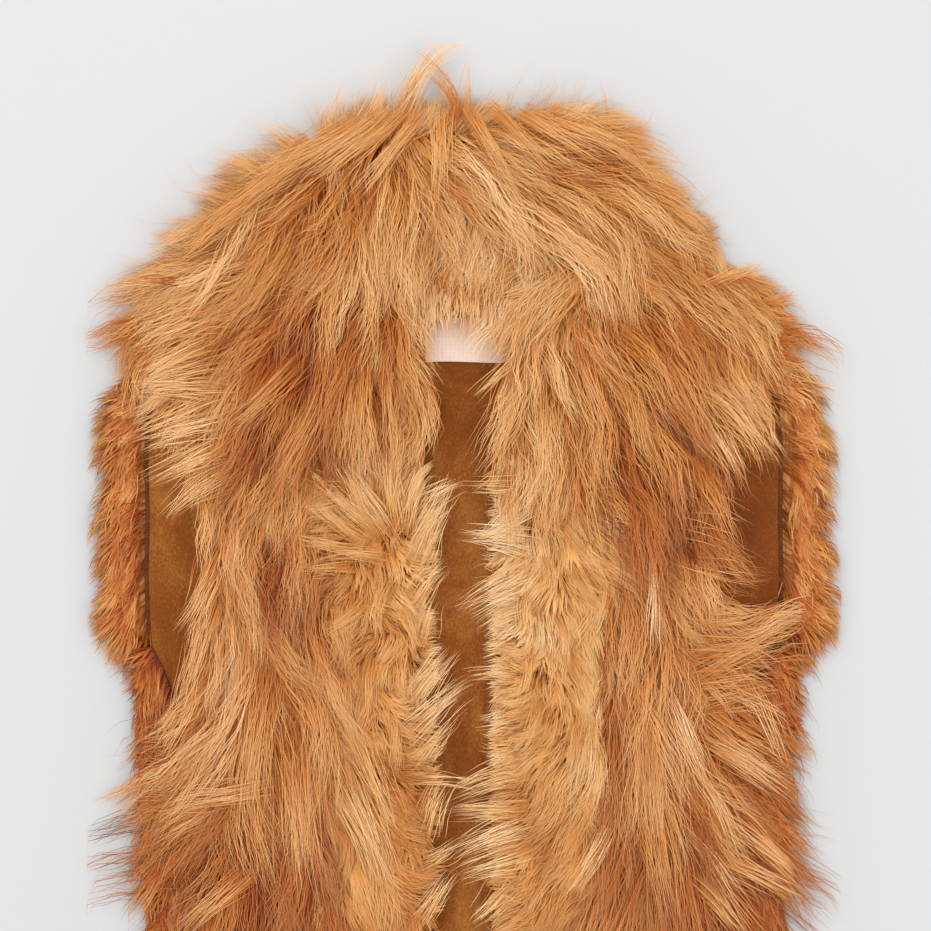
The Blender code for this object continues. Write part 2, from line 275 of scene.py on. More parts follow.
@dataclass(frozen=True)
class SuedeFinish:
    """Brushed microfibre suede: a short nap that lies in hand-sized light and dark strokes."""

    name: str = "lining_brushed_suede"
    deep: str = "#62300f"
    middle: str = "#784015"
    light: str = "#9a642f"
    stroke_mm: float = 46.0
    nap_mm: float = 1.1
    squeeze: tuple[float, float, float] = (1.0, 0.55, 1.0)

    def make(self) -> bpy.types.Material:
        """Builds the material."""
        bench = Bench(
            self.name,
            {
                "Roughness": 0.9,
                "Specular IOR Level": 0.1,
                "Sheen Weight": 0.12,
                "Sheen Roughness": 0.5,
                "Sheen Tint": linear("#e8a25c"),
            },
        )
        place = bench.squeezed(self.squeeze)
        stroke = {"Detail": 5.0, "Roughness": 0.62, "Distortion": 0.5}
        strokes = bench.noise(place, 1 / (self.stroke_mm * MM), **stroke)
        nap = bench.noise(place, 1 / (self.nap_mm * MM), Detail=3.0, Roughness=0.6)
        both = bench.mix("OVERLAY", 0.62, strokes, nap)
        bench.bump(nap, 0.35, 0.3)
        stops = ((0.28, self.deep), (0.47, self.middle), (0.74, self.light))
        return bench.coloured(bench.ramp(both, stops))


@dataclass(frozen=True)
class CottonFinish:
    """Bare woven cotton tape: warp and weft threads that the eye just makes out."""

    name: str = "label_woven_cotton"
    deep: str = "#c09a84"
    light: str = "#e0c8b8"
    thread_mm: float = 0.9
    clouds_per_metre: float = 55.0

    def make(self) -> bpy.types.Material:
        """Builds the material."""
        bench = Bench(self.name, {"Roughness": 0.8, "Sheen Weight": 0.15})
        place = bench.place()
        warp, weft = (bench.rows(place, self.thread_mm, axis, Distortion=0.6) for axis in "XY")
        woven = bench.mix("SCREEN", 0.8, warp, weft)
        clouds = bench.noise(place, self.clouds_per_metre, Detail=3.0)
        toned = bench.mix("MIX", 0.55, woven, clouds)
        bench.bump(woven, 0.5, 0.25)
        return bench.coloured(bench.ramp(toned, ((0.25, self.deep), (0.7, self.light))))


@dataclass(frozen=True)
class PaperFinish:
    """Matt card under the vest: no gloss and no grain that the eye could find."""

    name: str = "studio_card"
    colour: str = "#bcbcbc"

    def make(self) -> bpy.types.Material:
        """Builds the material."""
        matt = {"Roughness": 0.95, "Specular IOR Level": 0.1, "Base Color": linear(self.colour)}
        return Bench(self.name, matt).material


@dataclass(frozen=True)
class Comb:
    """One place of the coat and how it was combed there, as read from the photograph."""

    x: float
    y: float
    heading: float  # degrees: 0 is +X, 90 is +Y
    length: float
    tone: float  # 0 rust, 0.5 gold, 1 cream


@dataclass(frozen=True)
class Lock:
    """A single listed lock, from where it leaves the coat to its tip."""

    x: float
    y: float
    heading: float
    length: float
    turn: float = 0.0  # degrees that it bends by, along its length
    hairs: int = 60
    spread: float = 3.0  # half width at its root
    rise: float = 6.0  # its tip lies this much above its root
    tone: float = 0.6
    gather: float = 0.62  # how far its hairs meet at the tip
    crest: float = 0.0  # 1 starts on the coat, not in it


@dataclass(frozen=True)
class Layer:
    """One kind of hair in a coat: how many, how thick, and how they gather into locks."""

    per_cm2: float
    points: int
    width: float
    height: float  # share of the coat's height
    length: float  # share of the combed length
    gather: float  # 0 is loose, 1 meets at the tip
    lock_gap: float
    wander: float  # degrees that one hair strays by
    tone: float = 0.0
    wave: float = 1.0  # mm of sideways wave
    outward: float = 1.5  # how far it turns outwards beside an edge, at its root
    outward_fade: float = 2.2  # how fast that ends along the hair
    rim_only: bool = False
    lift: tuple[float, float] = (0.5, 1.0)  # range of the locks' heights
    contrast: float = 0.06  # spread of the locks' tones
    roll: float = 38.0  # degrees that a ribbon leans by
    relief: float = 0.35  # share of its height that a lock loses towards its border
    gap_painted_shade: float = 0.16  # painted shade: how much darker that border is than its middle
    root: float = 0.0  # where on its map it starts


def comb_rows(*rows: tuple) -> tuple[Comb, ...]:
    """Makes combs of rows: x, y, heading, length and tone."""
    return tuple(Comb(*row) for row in rows)


def lock_rows(*rows: tuple) -> tuple[Lock, ...]:
    """Makes locks of rows, which hold a lock's values in its own order."""
    return tuple(Lock(*row) for row in rows)


COLLAR_COMBS = comb_rows(
    (-43, 412, 75, 30, 0.80), (-76, 408, 150, 32, 0.72), (-93, 398, 200, 35, 0.60),
    (-109, 392, 215, 35, 0.61), (-123, 375, 210, 40, 0.58), (-143, 365, 212, 45, 0.58),
    (-163, 348, 212, 45, 0.58), (-176, 328, 212, 50, 0.63), (-196, 305, 222, 45, 0.58),
    (-209, 282, 205, 45, 0.50), (-216, 258, 212, 45, 0.35), (-203, 252, 215, 55, 0.30),
    (-176, 272, 212, 60, 0.50), (-156, 298, 222, 60, 0.53), (-149, 325, 225, 60, 0.53),
    (-136, 345, 218, 60, 0.53), (-109, 358, 215, 60, 0.58), (-89, 378, 205, 50, 0.60),
    (-63, 398, 180, 45, 0.65), (-39, 385, -60, 55, 0.60), (-20, 395, -35, 45, 0.68),
    (-3, 412, 120, 30, 0.56), (11, 405, -10, 35, 0.51), (17, 396, -45, 45, 0.50),
    (37, 398, 12, 40, 0.58), (64, 408, 0, 40, 0.58), (91, 402, -5, 40, 0.54), (117, 392, -35, 26, 0.50),
    (127, 375, -45, 26, 0.47), (151, 352, -55, 20, 0.52), (157, 328, -60, 22, 0.47),
    (171, 315, -58, 20, 0.52), (184, 295, -50, 24, 0.47), (204, 282, -10, 22, 0.47),
    (217, 265, -40, 28, 0.45), (77, 385, -3, 55, 0.54), (104, 372, -18, 36, 0.54),
    (64, 372, -12, 55, 0.38), (37, 378, -35, 55, 0.51), (11, 372, -45, 60, 0.56),
    (-16, 372, -40, 60, 0.62), (-43, 365, -55, 55, 0.52), (-63, 372, -100, 50, 0.42),
    (-83, 358, -115, 50, 0.36), (91, 352, -20, 46, 0.50), (124, 358, -34, 30, 0.50),
    (131, 338, -52, 32, 0.44), (64, 345, -15, 55, 0.40), (37, 345, -40, 55, 0.54),
    (4, 338, -62, 30, 0.54), (-23, 338, -66, 34, 0.56), (-49, 342, -80, 50, 0.46),
    (-69, 338, -90, 55, 0.50), (-89, 332, -95, 50, 0.36), (-109, 325, -120, 55, 0.41),
    (-129, 312, -130, 60, 0.53), (-96, 312, -100, 50, 0.32), (-63, 312, -85, 55, 0.50),
    (-36, 312, -80, 30, 0.62), (-9, 308, -90, 20, 0.80), (11, 308, -90, 20, 0.80),
    (27, 312, -85, 30, 0.68), (44, 315, -48, 60, 0.68), (71, 318, -42, 60, 0.38),
    (97, 325, -50, 54, 0.42), (117, 322, -58, 46, 0.34), (137, 312, -58, 38, 0.36),
    (157, 298, -54, 34, 0.40), (177, 282, -50, 34, 0.44), (197, 265, -48, 34, 0.48),
    (211, 248, -50, 45, 0.40), (117, 298, -54, 50, 0.46), (91, 295, -72, 45, 0.37),
    (84, 282, -130, 40, 0.48), (64, 295, -40, 55, 0.52), (64, 272, -150, 40, 0.54),
    (51, 278, -115, 45, 0.55), (104, 278, -75, 50, 0.42), (131, 278, -50, 50, 0.14),
    (144, 258, -52, 40, 0.32), (157, 272, -45, 55, 0.47), (177, 252, -50, 50, 0.45),
    (-9, 278, -94, 13, 0.74), (11, 278, -86, 14, 0.74), (-26, 282, -82, 26, 0.78),
    (31, 278, -108, 30, 0.76), (-46, 278, -80, 45, 0.30), (-63, 278, -100, 55, 0.20),
    (-83, 278, -115, 60, 0.14), (-103, 278, -120, 60, 0.20), (-123, 278, -130, 60, 0.38),
    (-149, 272, -140, 65, 0.50), (-176, 245, -145, 34, 0.52), (-203, 232, -145, 26, 0.68),
    (-149, 245, -138, 46, 0.50), (-123, 245, -130, 55, 0.18), (-96, 252, -115, 55, 0.10),
    (-76, 245, -100, 55, 0.16), (-56, 245, -90, 50, 0.40), (-36, 245, -84, 34, 0.52),
    (-156, 212, -116, 30, 0.52), (-133, 205, -114, 42, 0.14), (-109, 205, -114, 46, 0.30),
    (-89, 205, -108, 42, 0.22), (-63, 205, -92, 36, 0.46), (-39, 205, -90, 32, 0.56),
    (-109, 178, -112, 36, 0.50), (-83, 178, -104, 24, 0.22), (-56, 178, -92, 20, 0.50),
    (-36, 178, -88, 20, 0.60), (51, 245, -85, 50, 0.50), (37, 232, -98, 32, 0.66),
    (77, 245, -60, 55, 0.50), (104, 242, -55, 55, 0.26), (131, 242, -60, 50, 0.20),
    (157, 238, -60, 38, 0.46), (184, 232, -60, 28, 0.50), (51, 205, -90, 44, 0.56),
    (77, 205, -65, 55, 0.36), (104, 205, -55, 55, 0.28), (131, 212, -80, 35, 0.08),
    (151, 205, -60, 28, 0.34), (57, 172, -100, 32, 0.56), (91, 172, -70, 40, 0.22),
    (117, 172, -60, 50, 0.16), (137, 172, -65, 45, 0.20),
)

# In the front and band combs the lower rows' tones are darker towards the hem: partly the fur's own
# rust, partly painted shade of light that falls off lower down.
FRONT_LEFT_COMBS = comb_rows(
    (-109, 152, -110, 55, 0.50), (-140, 152, -98, 36, 0.50), (-152, 118, -88, 36, 0.55),
    (-123, 112, -95, 50, 0.16), (-158, 72, -87, 38, 0.66), (-129, 72, -95, 60, 0.50),
    (-169, 45, -94, 44, 0.66), (-143, 32, -92, 65, 0.50), (-116, 38, -75, 65, 0.45),
    (-163, -8, -112, 60, 0.61), (-136, -8, -88, 65, 0.45), (-109, 5, -65, 65, 0.45),
    (-183, -42, -140, 55, 0.35), (-156, -48, -118, 60, 0.39), (-133, -42, -105, 60, 0.23),
    (-109, -48, -75, 65, 0.28), (-189, -62, -160, 50, 0.46), (-176, -88, -140, 60, 0.24),
    (-149, -95, -100, 60, 0.22), (-129, -82, -92, 50, 0.12), (-109, -95, -82, 65, 0.21),
    (-196, -115, -125, 55, 0.25), (-163, -128, -110, 55, 0.24), (-126, -122, -88, 50, 0.12),
    (-109, -142, -88, 60, 0.16), (-160, -200, -102, 60, 0.24), (-112, -200, -88, 60, 0.21),
    (-150, -270, -98, 60, 0.16), (-112, -280, -92, 60, 0.21), (-165, -340, -105, 55, 0.26),
    (-120, -350, -90, 55, 0.16), (-150, -400, -95, 58, 0.26), (-110, -400, -88, 58, 0.21),
)

FRONT_RIGHT_COMBS = comb_rows(
    (104, 152, -60, 50, 0.18), (131, 138, -72, 38, 0.20), (117, 98, -65, 55, 0.50),
    (144, 98, -82, 36, 0.50), (124, 72, -80, 60, 0.50), (151, 58, -64, 40, 0.55),
    (117, 38, -92, 60, 0.50), (134, 32, -85, 60, 0.68), (157, 38, 15, 55, 0.60),
    (171, 45, 20, 55, 0.70), (160, 12, -30, 55, 0.38), (117, -8, -93, 65, 0.38),
    (141, -8, -70, 65, 0.60), (171, -8, -55, 50, 0.08), (124, -42, -92, 65, 0.34),
    (151, -35, -62, 65, 0.50), (177, -42, -40, 60, 0.28), (104, -62, -100, 60, 0.26),
    (121, -62, -92, 50, 0.16), (137, -75, -82, 65, 0.27), (164, -75, -58, 65, 0.20),
    (191, -82, -50, 60, 0.28), (104, -102, -98, 60, 0.37), (131, -108, -86, 65, 0.33),
    (151, -122, -78, 50, 0.09), (177, -115, -55, 60, 0.14), (124, -142, -90, 60, 0.21),
    (171, -142, -60, 60, 0.24), (112, -200, -92, 60, 0.26), (160, -205, -72, 60, 0.21),
    (115, -270, -90, 60, 0.21), (155, -280, -80, 60, 0.29), (170, -345, -75, 55, 0.21),
    (120, -350, -92, 55, 0.27), (150, -400, -85, 58, 0.31), (110, -400, -92, 58, 0.26),
)

# The lower rows' tones are darker towards the hem: partly the fur's own tone, partly painted shade of
# light that falls off lower down.
BAND_LEFT_COMBS = comb_rows(
    (-96, 162, 140, 40, 0.60), (-76, 168, 115, 38, 0.66), (-53, 152, 92, 35, 0.70),
    (-23, 172, 55, 15, 0.70), (-15, 160, 45, 14, 0.75), (-36, 135, 50, 27, 0.72),
    (-20, 125, 15, 14, 0.76), (-20, 98, -15, 14, 0.70), (-43, 98, -60, 26, 0.66),
    (-63, 105, -110, 24, 0.28), (-83, 112, 190, 34, 0.55), (-103, 98, -130, 45, 0.50),
    (-83, 85, -120, 28, 0.30), (-56, 78, -70, 30, 0.62), (-29, 72, -30, 14, 0.72),
    (-22, 45, 18, 14, 0.73), (-43, 45, -80, 26, 0.53), (-69, 45, -150, 28, 0.27),
    (-89, 58, -75, 40, 0.50), (-25, 5, 40, 16, 0.77), (-46, 12, -70, 26, 0.57),
    (-69, 12, -90, 34, 0.41), (-89, 5, -60, 52, 0.46), (-25, -25, 28, 16, 0.75),
    (-43, -22, -30, 26, 0.57), (-63, -35, -85, 30, 0.12), (-83, -42, -62, 58, 0.28),
    (-25, -62, 15, 16, 0.46), (-43, -62, -60, 26, 0.18), (-66, -68, -70, 48, 0.40),
    (-25, -95, -40, 14, 0.38), (-43, -102, -65, 36, 0.34), (-69, -102, -68, 58, 0.56),
    (-20, -122, 42, 15, 0.53), (-43, -135, -75, 36, 0.32), (-76, -135, -85, 55, 0.33),
    (-25, -180, 18, 14, 0.52), (-50, -190, -80, 36, 0.37), (-80, -200, -95, 45, 0.29),
    (-25, -250, 5, 14, 0.55), (-55, -260, -100, 36, 0.35), (-82, -280, -85, 45, 0.32),
    (-27, -320, -20, 14, 0.51), (-52, -335, -70, 36, 0.39), (-80, -350, -95, 42, 0.32),
    (-35, -400, -75, 39, 0.42), (-75, -400, -92, 49, 0.37),
)

BAND_RIGHT_COMBS = comb_rows(
    (24, 150, 170, 15, 0.86), (37, 152, 120, 30, 0.72), (64, 150, 60, 34, 0.64),
    (64, 132, -20, 38, 0.62), (91, 125, -35, 42, 0.56), (97, 118, -40, 42, 0.30),
    (27, 122, 185, 15, 0.92), (27, 85, 200, 15, 0.86), (40, 92, -150, 29, 0.72),
    (57, 98, -90, 34, 0.62), (84, 85, -55, 44, 0.56), (27, 58, 180, 15, 0.80), (51, 58, -85, 34, 0.72),
    (77, 58, -70, 38, 0.62), (27, 25, 172, 15, 0.86), (40, 28, 165, 26, 0.62), (64, 25, -50, 34, 0.56),
    (91, 25, -100, 44, 0.62), (27, -2, 195, 15, 0.80), (51, -2, -150, 30, 0.48),
    (71, -2, -70, 34, 0.44), (27, -35, 200, 16, 0.77), (44, -28, -160, 26, 0.60),
    (84, -22, -118, 52, 0.72), (64, -42, -112, 46, 0.43), (27, -62, 192, 16, 0.63),
    (44, -62, 200, 27, 0.37), (54, -82, -100, 30, 0.21), (27, -88, 190, 16, 0.69),
    (40, -90, 180, 27, 0.47), (77, -82, -115, 52, 0.43), (27, -115, 205, 16, 0.63),
    (51, -115, -135, 46, 0.43), (27, -138, 195, 16, 0.49), (70, -138, -112, 50, 0.33),
    (27, -190, 185, 14, 0.55), (52, -195, -110, 36, 0.37), (80, -200, -88, 45, 0.32),
    (27, -255, 178, 14, 0.51), (55, -265, -85, 36, 0.37), (82, -280, -95, 45, 0.29),
    (29, -325, 200, 14, 0.53), (54, -335, -105, 36, 0.39), (80, -350, -88, 42, 0.32),
    (38, -400, -100, 39, 0.42), (75, -400, -88, 49, 0.37),
)

SIDE_LEFT_COMBS = comb_rows(
    (-214, 38, -120, 26, 0.33), (-212, 0, -105, 28, 0.35), (-207, -40, -100, 30, 0.31),
    (-203, -90, -105, 34, 0.35), (-200, -149, -105, 36, 0.38), (-200, -230, -98, 36, 0.33),
    (-203, -310, -95, 36, 0.38), (-205, -395, -92, 32, 0.41),
)

SIDE_RIGHT_COMBS = comb_rows(
    (214, 38, -50, 28, 0.37), (212, 0, -65, 32, 0.33), (207, -40, -70, 34, 0.35),
    (203, -90, -62, 38, 0.30), (200, -149, -70, 38, 0.28), (200, -230, -80, 36, 0.24),
    (203, -310, -86, 36, 0.27), (205, -395, -88, 32, 0.30),
)

BACK_COMBS = comb_rows(
    (-222, 220, 222, 32, 0.44), (-222, 130, 250, 38, 0.42), (-220, 60, 256, 38, 0.40),
    (222, 220, -50, 34, 0.50), (222, 130, -74, 42, 0.46), (220, 60, -78, 40, 0.42),
    (-150, -405, -95, 26, 0.52), (0, -405, -90, 26, 0.54), (150, -405, -85, 26, 0.52),
)


def unit(vectors: np.ndarray) -> np.ndarray:
    """The vectors at a length of 1."""
    return vectors / np.maximum(np.linalg.norm(vectors, axis=-1, keepdims=True), SHORTEST)


class Waver:
    """Smooth seeded variation over the coat: a sum of plane waves with a spread of 1."""

    def __init__(self, seed: int, wavelength: float, count: int = 14) -> None:
        """Draws the waves.

        Args:
            seed: Seed of the waves.
            wavelength: Their middle length, in millimetres.
            count: How many are summed.
        """
        rng = np.random.default_rng(seed)
        turn = rng.uniform(0, math.tau, count)
        number = math.tau / (wavelength * rng.uniform(0.7, 1.8, count))
        self.waves = np.stack([np.cos(turn), np.sin(turn)]) * number
        self.phase = rng.uniform(0, math.tau, count)
        self.share = math.sqrt(2.0 / count)

    def at(self, places: np.ndarray) -> np.ndarray:
        """The variation at each place."""
        return np.sin(places @ self.waves + self.phase).sum(1) * self.share


class Combing:
    """The combing over a stretch of coat, blended between the places where it is known."""

    NEAR = 10.0  # mm, within which a comb counts fully
    FALL = 2.2  # how fast it counts for less beyond that
    CHUNK = 8192

    def __init__(self, combs: tuple[Comb, ...]) -> None:
        """Keeps the combs as arrays."""
        self.places = np.array([(c.x, c.y) for c in combs], float)
        turn = np.radians([c.heading for c in combs])
        facts = [np.cos(turn), np.sin(turn), [c.length for c in combs], [c.tone for c in combs]]
        self.facts = np.column_stack(facts)

    def at(self, places: np.ndarray) -> tuple[np.ndarray, np.ndarray, np.ndarray]:
        """Blends the combs.

        Args:
            places: Places over the coat, one a row.

        Returns:
            The heading in radians, the hair's length and its tone, at each place.
        """
        found = np.empty((len(places), 4))
        for start in range(0, len(places), self.CHUNK):
            part = places[start : start + self.CHUNK, None]
            gap = ((part - self.places) ** 2).sum(-1)
            weight = (gap + self.NEAR**2) ** -self.FALL
            found[start : start + self.CHUNK] = weight @ self.facts / weight.sum(1)[:, None]
        return np.arctan2(found[:, 1], found[:, 0]), found[:, 2], found[:, 3]


def triangles_of(obj: bpy.types.Object) -> np.ndarray:
    """The object's triangles in millimetres, as an array of corners by triangle."""
    mesh = obj.data
    mesh.calc_loop_triangles()
    points = np.empty(len(mesh.vertices) * 3, np.float32)
    mesh.vertices.foreach_get("co", points)
    corners = np.empty(len(mesh.loop_triangles) * 3, np.int32)
    mesh.loop_triangles.foreach_get("vertices", corners)
    return points.reshape(-1, 3)[corners.reshape(-1, 3)].astype(float) / MM


def normals_of(triangles: np.ndarray) -> tuple[np.ndarray, np.ndarray]:
    """The unit normal and the area of each triangle."""
    cross = np.cross(triangles[:, 1] - triangles[:, 0], triangles[:, 2] - triangles[:, 0])
    double = np.maximum(np.linalg.norm(cross, axis=1), NO_AREA)
    return cross / double[:, None], double / 2


class Ground:
    """Heights over the plane on a grid, from the faces that look one way."""

    CELL = 3.0
    LOW = np.array([-285.0, -465.0])
    SHAPE = (190, 312)
    MARGIN = 0.02  # share of a face that counts past its sides
    BLUR = 12  # cells that a blur looks to each side
    FAINT = 0.02  # slope of the cover, below which an edge counts for less

    def __init__(self, triangles: np.ndarray, facing: float) -> None:
        """Lays the faces on the grid.

        Args:
            triangles: Corners by triangle, in millimetres.
            facing: 1 for the faces that look up, -1 for those that look down.
        """
        self.height = np.zeros(self.SHAPE)
        self.cover = np.zeros(self.SHAPE)
        normals, _ = normals_of(triangles)
        for corners in triangles[normals[:, 2] * facing > LEVEL]:
            self.lay(corners)

    def lay(self, corners: np.ndarray) -> None:
        """Lays one triangle on the grid, where it is the highest."""
        spots = (corners[:, :2] - self.LOW) / self.CELL
        low = np.maximum(np.floor(spots.min(0)).astype(int), 0)
        high = np.minimum(np.ceil(spots.max(0)).astype(int) + 1, self.SHAPE)
        x, y = np.meshgrid(*(np.arange(a, b) + 0.5 for a, b in zip(low, high)), indexing="ij")
        (ax, ay), (bx, by), (cx, cy) = spots
        whole = (by - cy) * (ax - cx) + (cx - bx) * (ay - cy)
        if abs(whole) < NO_AREA:
            return
        a = ((by - cy) * (x - cx) + (cx - bx) * (y - cy)) / whole
        b = ((cy - ay) * (x - cx) + (ax - cx) * (y - cy)) / whole
        inside = (a >= -self.MARGIN) & (b >= -self.MARGIN) & (a + b <= 1 + self.MARGIN)
        z = a * corners[0, 2] + b * corners[1, 2] + (1 - a - b) * corners[2, 2]
        part = (slice(low[0], high[0]), slice(low[1], high[1]))
        self.height[part] = np.where(inside, np.maximum(self.height[part], z), self.height[part])
        self.cover[part] = np.where(inside, 1.0, self.cover[part])

    def soften(self, reach: float) -> None:
        """Blurs the grids over a reach in millimetres, so that hair bends over edges."""
        steps = np.arange(-self.BLUR, self.BLUR + 1)
        weights = np.exp(-0.5 * (steps * self.CELL / reach) ** 2)
        weights /= weights.sum()
        for axis in (0, 1):
            for name in ("height", "cover"):
                grid = getattr(self, name)
                blurred = sum(w * np.roll(grid, s, axis) for s, w in zip(steps, weights))
                setattr(self, name, blurred)

    def edge(self, places: np.ndarray) -> tuple[np.ndarray, np.ndarray]:
        """The way out of the cloth at each place, as a unit vector, and the cover."""
        reach = 2 * self.CELL
        slopes = []
        for step in ((reach, 0.0), (0.0, reach)):
            slopes.append(self.at(places - step)[1] - self.at(places + step)[1])
        away = np.stack(slopes, -1)
        away /= np.maximum(np.linalg.norm(away, axis=1), self.FAINT)[:, None]
        return away, self.at(places)[1]

    def at(self, places: np.ndarray) -> tuple[np.ndarray, np.ndarray]:
        """The height and the cover at each place, between the grid's cells."""
        spots = np.clip((places - self.LOW) / self.CELL - 0.5, 0, np.array(self.SHAPE) - 1.001)
        cell = spots.astype(int)
        fx, fy = (spots - cell).T
        i, j = cell.T
        found = []
        for grid in (self.height, self.cover):
            left = grid[i, j] * (1 - fy) + grid[i, j + 1] * fy
            right = grid[i + 1, j] * (1 - fy) + grid[i + 1, j + 1] * fy
            found.append(left * (1 - fx) + right * fx)
        return found[0], found[1]


@dataclass
class Hairs:
    """Hairs with the same number of points, and how each takes the light and its colour."""

    paths: np.ndarray
    normals: np.ndarray
    width: np.ndarray
    roll: np.ndarray
    tone: np.ndarray
    root: float = 0.0  # where on its map it starts: above 0 it lacks the painted root shade


def turned(vectors: np.ndarray, angles: np.ndarray) -> np.ndarray:
    """Turns plane vectors by an angle each, in radians."""
    cos, sin = np.cos(angles), np.sin(angles)
    x, y = vectors[..., 0], vectors[..., 1]
    return np.stack([x * cos - y * sin, x * sin + y * cos], -1)


@dataclass(frozen=True)
class Shading:
    """How a hair's shading follows the cloth, the light from above and its round lock."""

    cloth_lost: float = 0.6  # of the cloth's normal, from root to tip
    up_root: float = 0.25
    up_gained: float = 0.45  # from root to tip
    roundness: float = 0.45
    squared: float = 0.7  # 1 is square to the hair


SHADING = Shading()


def rounded(paths: np.ndarray, spine: np.ndarray, base: np.ndarray, radius: float) -> np.ndarray:
    """Shades hairs as the round lock that they lie in.

    Args:
        paths: The hairs' points.
        spine: The middle of each hair's lock, over the plane, at the same points.
        base: The cloth's normal at each root.
        radius: The lock's half width.

    Returns:
        A unit normal at each point, square to the hair.
    """
    share = np.linspace(0, 1, paths.shape[1])[None, :, None]
    away = (paths[..., :2] - spine) / radius
    away /= np.maximum(np.linalg.norm(away, axis=-1, keepdims=True), 1.0)
    up = np.array([0, 0, 1.0]) * (SHADING.up_root + SHADING.up_gained * share)
    facing = base[:, None] * (1 - SHADING.cloth_lost * share) + up
    facing[..., :2] += SHADING.roundness * away
    along = unit(np.gradient(paths, axis=1))
    facing -= SHADING.squared * along * (facing * along).sum(-1, keepdims=True)
    return unit(facing)


class Ribbons:
    """Makes one mesh of many hairs, each a ribbon that narrows to a point."""

    BLADE = np.array([0.75, 1.0, 1.0, 0.86, 0.6, 0.0])  # shares of its width, root to tip
    TONE_WIDTH = 0.004  # of the map, between a ribbon's two sides
    PALEST = 0.99  # the map's inside, which a tone stays in
    DARKEST = 0.01

    def __init__(self) -> None:
        """Starts with no hair."""
        self.points: list[np.ndarray] = []
        self.normals: list[np.ndarray] = []
        self.maps: list[np.ndarray] = []
        self.corners: list[np.ndarray] = []
        self.sizes: list[np.ndarray] = []
        self.count = 0

    def add(self, hairs: Hairs) -> None:
        """Adds hairs: quads along each, and a triangle at its tip."""
        paths = hairs.paths
        count, points, _ = paths.shape
        share = np.linspace(0, 1, points)
        blade = np.interp(share, np.linspace(0, 1, len(self.BLADE)), self.BLADE)
        chord = paths[:, -1] - paths[:, 0]
        flat = unit(np.stack([-chord[:, 1], chord[:, 0], np.full(count, SHORTEST)], -1))
        up = unit(np.cross(chord, flat))
        side = flat * np.cos(hairs.roll)[:, None] + up * np.sin(hairs.roll)[:, None]
        half = side[:, None] * (hairs.width[:, None] * blade / 2)[..., None]
        left, right = paths - half, paths + half
        pairs = np.stack([left[:, :-1], right[:, :-1]], 2).reshape(count, -1, 3)
        self.points.append(np.concatenate([pairs, paths[:, -1:]], 1).reshape(-1, 3))
        facing = np.repeat(hairs.normals[:, :-1], 2, axis=1)
        self.normals.append(np.concatenate([facing, hairs.normals[:, -1:]], 1).reshape(-1, 3))
        tone = np.clip(hairs.tone, self.DARKEST, self.PALEST)[:, None, None]
        across = np.broadcast_to(tone, (count, points - 1, 2)) + np.array([-1, 1]) * self.TONE_WIDTH
        rising = hairs.root + (1 - hairs.root) * share
        along = np.broadcast_to(rising[:-1, None], (count, points - 1, 2))
        low = np.stack([across, along], -1).reshape(count, -1, 2)
        tip = np.stack([tone[:, 0, 0], np.ones(count)], -1)[:, None]
        places = np.concatenate([low, tip], 1)
        each = 2 * points - 1
        step = 2 * np.arange(points - 2)[:, None]
        quads = (step + np.array([1, 0, 2, 3])).ravel()
        last = 2 * (points - 2)
        ribbon = np.concatenate([quads, [last + 1, last, last + 2]])
        first = self.count + each * np.arange(count)
        self.corners.append((first[:, None] + ribbon).ravel())
        self.maps.append(places[:, ribbon].reshape(-1, 2))
        self.sizes.append(np.tile([4] * (points - 2) + [3], count))
        self.count += each * count

    def build(self, name: str, material: bpy.types.Material) -> bpy.types.Object:
        """Makes the mesh and its object.

        Args:
            name: The piece's name.
            material: Its fur.

        Returns:
            The new object, linked to the scene.
        """
        points = np.concatenate(self.points) * MM
        corners = np.concatenate(self.corners)
        sizes = np.concatenate(self.sizes)
        mesh = bpy.data.meshes.new(name)
        mesh.vertices.add(len(points))
        mesh.vertices.foreach_set("co", points.astype(np.float32).ravel())
        mesh.loops.add(len(corners))
        mesh.loops.foreach_set("vertex_index", corners.astype(np.int32))
        mesh.polygons.add(len(sizes))
        starts = np.concatenate([[0], np.cumsum(sizes)[:-1]])
        mesh.polygons.foreach_set("loop_start", starts.astype(np.int32))
        mesh.update(calc_edges=True)
        mesh.polygons.foreach_set("use_smooth", np.ones(len(sizes), bool))
        hair_map = mesh.uv_layers.new(name=HAIR_MAP)
        hair_map.data.foreach_set("uv", np.concatenate(self.maps).astype(np.float32).ravel())
        mesh.normals_split_custom_set_from_vertices(np.concatenate(self.normals))
        mesh.materials.append(material)
        made = bpy.data.objects.new(name, mesh)
        bpy.context.scene.collection.objects.link(made)
        return made


# UNDER's negative tone is painted shade: the under-hair is darker so that the gaps between locks look
# shaded
UNDER = Layer(per_cm2=19, points=3, width=2.0, height=0.58, length=0.85, gather=0.1, lock_gap=12,
              wander=7, tone=-0.13, wave=0.0, contrast=0.05, roll=16, relief=0.0, gap_painted_shade=0.05)
GUARD = Layer(per_cm2=22, points=5, width=0.64, height=0.8, length=1.35, gather=0.72, lock_gap=17,
              wander=2, wave=1.6, contrast=0.07, roll=16, relief=0.42, gap_painted_shade=0.25)
TOP = Layer(per_cm2=13, points=7, width=0.5, height=1.22, length=2.2, gather=0.84, lock_gap=28,
            wander=2, tone=0.04, wave=2.6, lift=(0.76, 0.98), contrast=0.06, roll=18, relief=0.3,
            gap_painted_shade=0.25)
STRAY = Layer(per_cm2=3, points=5, width=0.3, height=1.1, length=1.6, gather=0.25, lock_gap=13,
              wander=12, tone=0.12, wave=3.0, relief=0.0, gap_painted_shade=0.0)
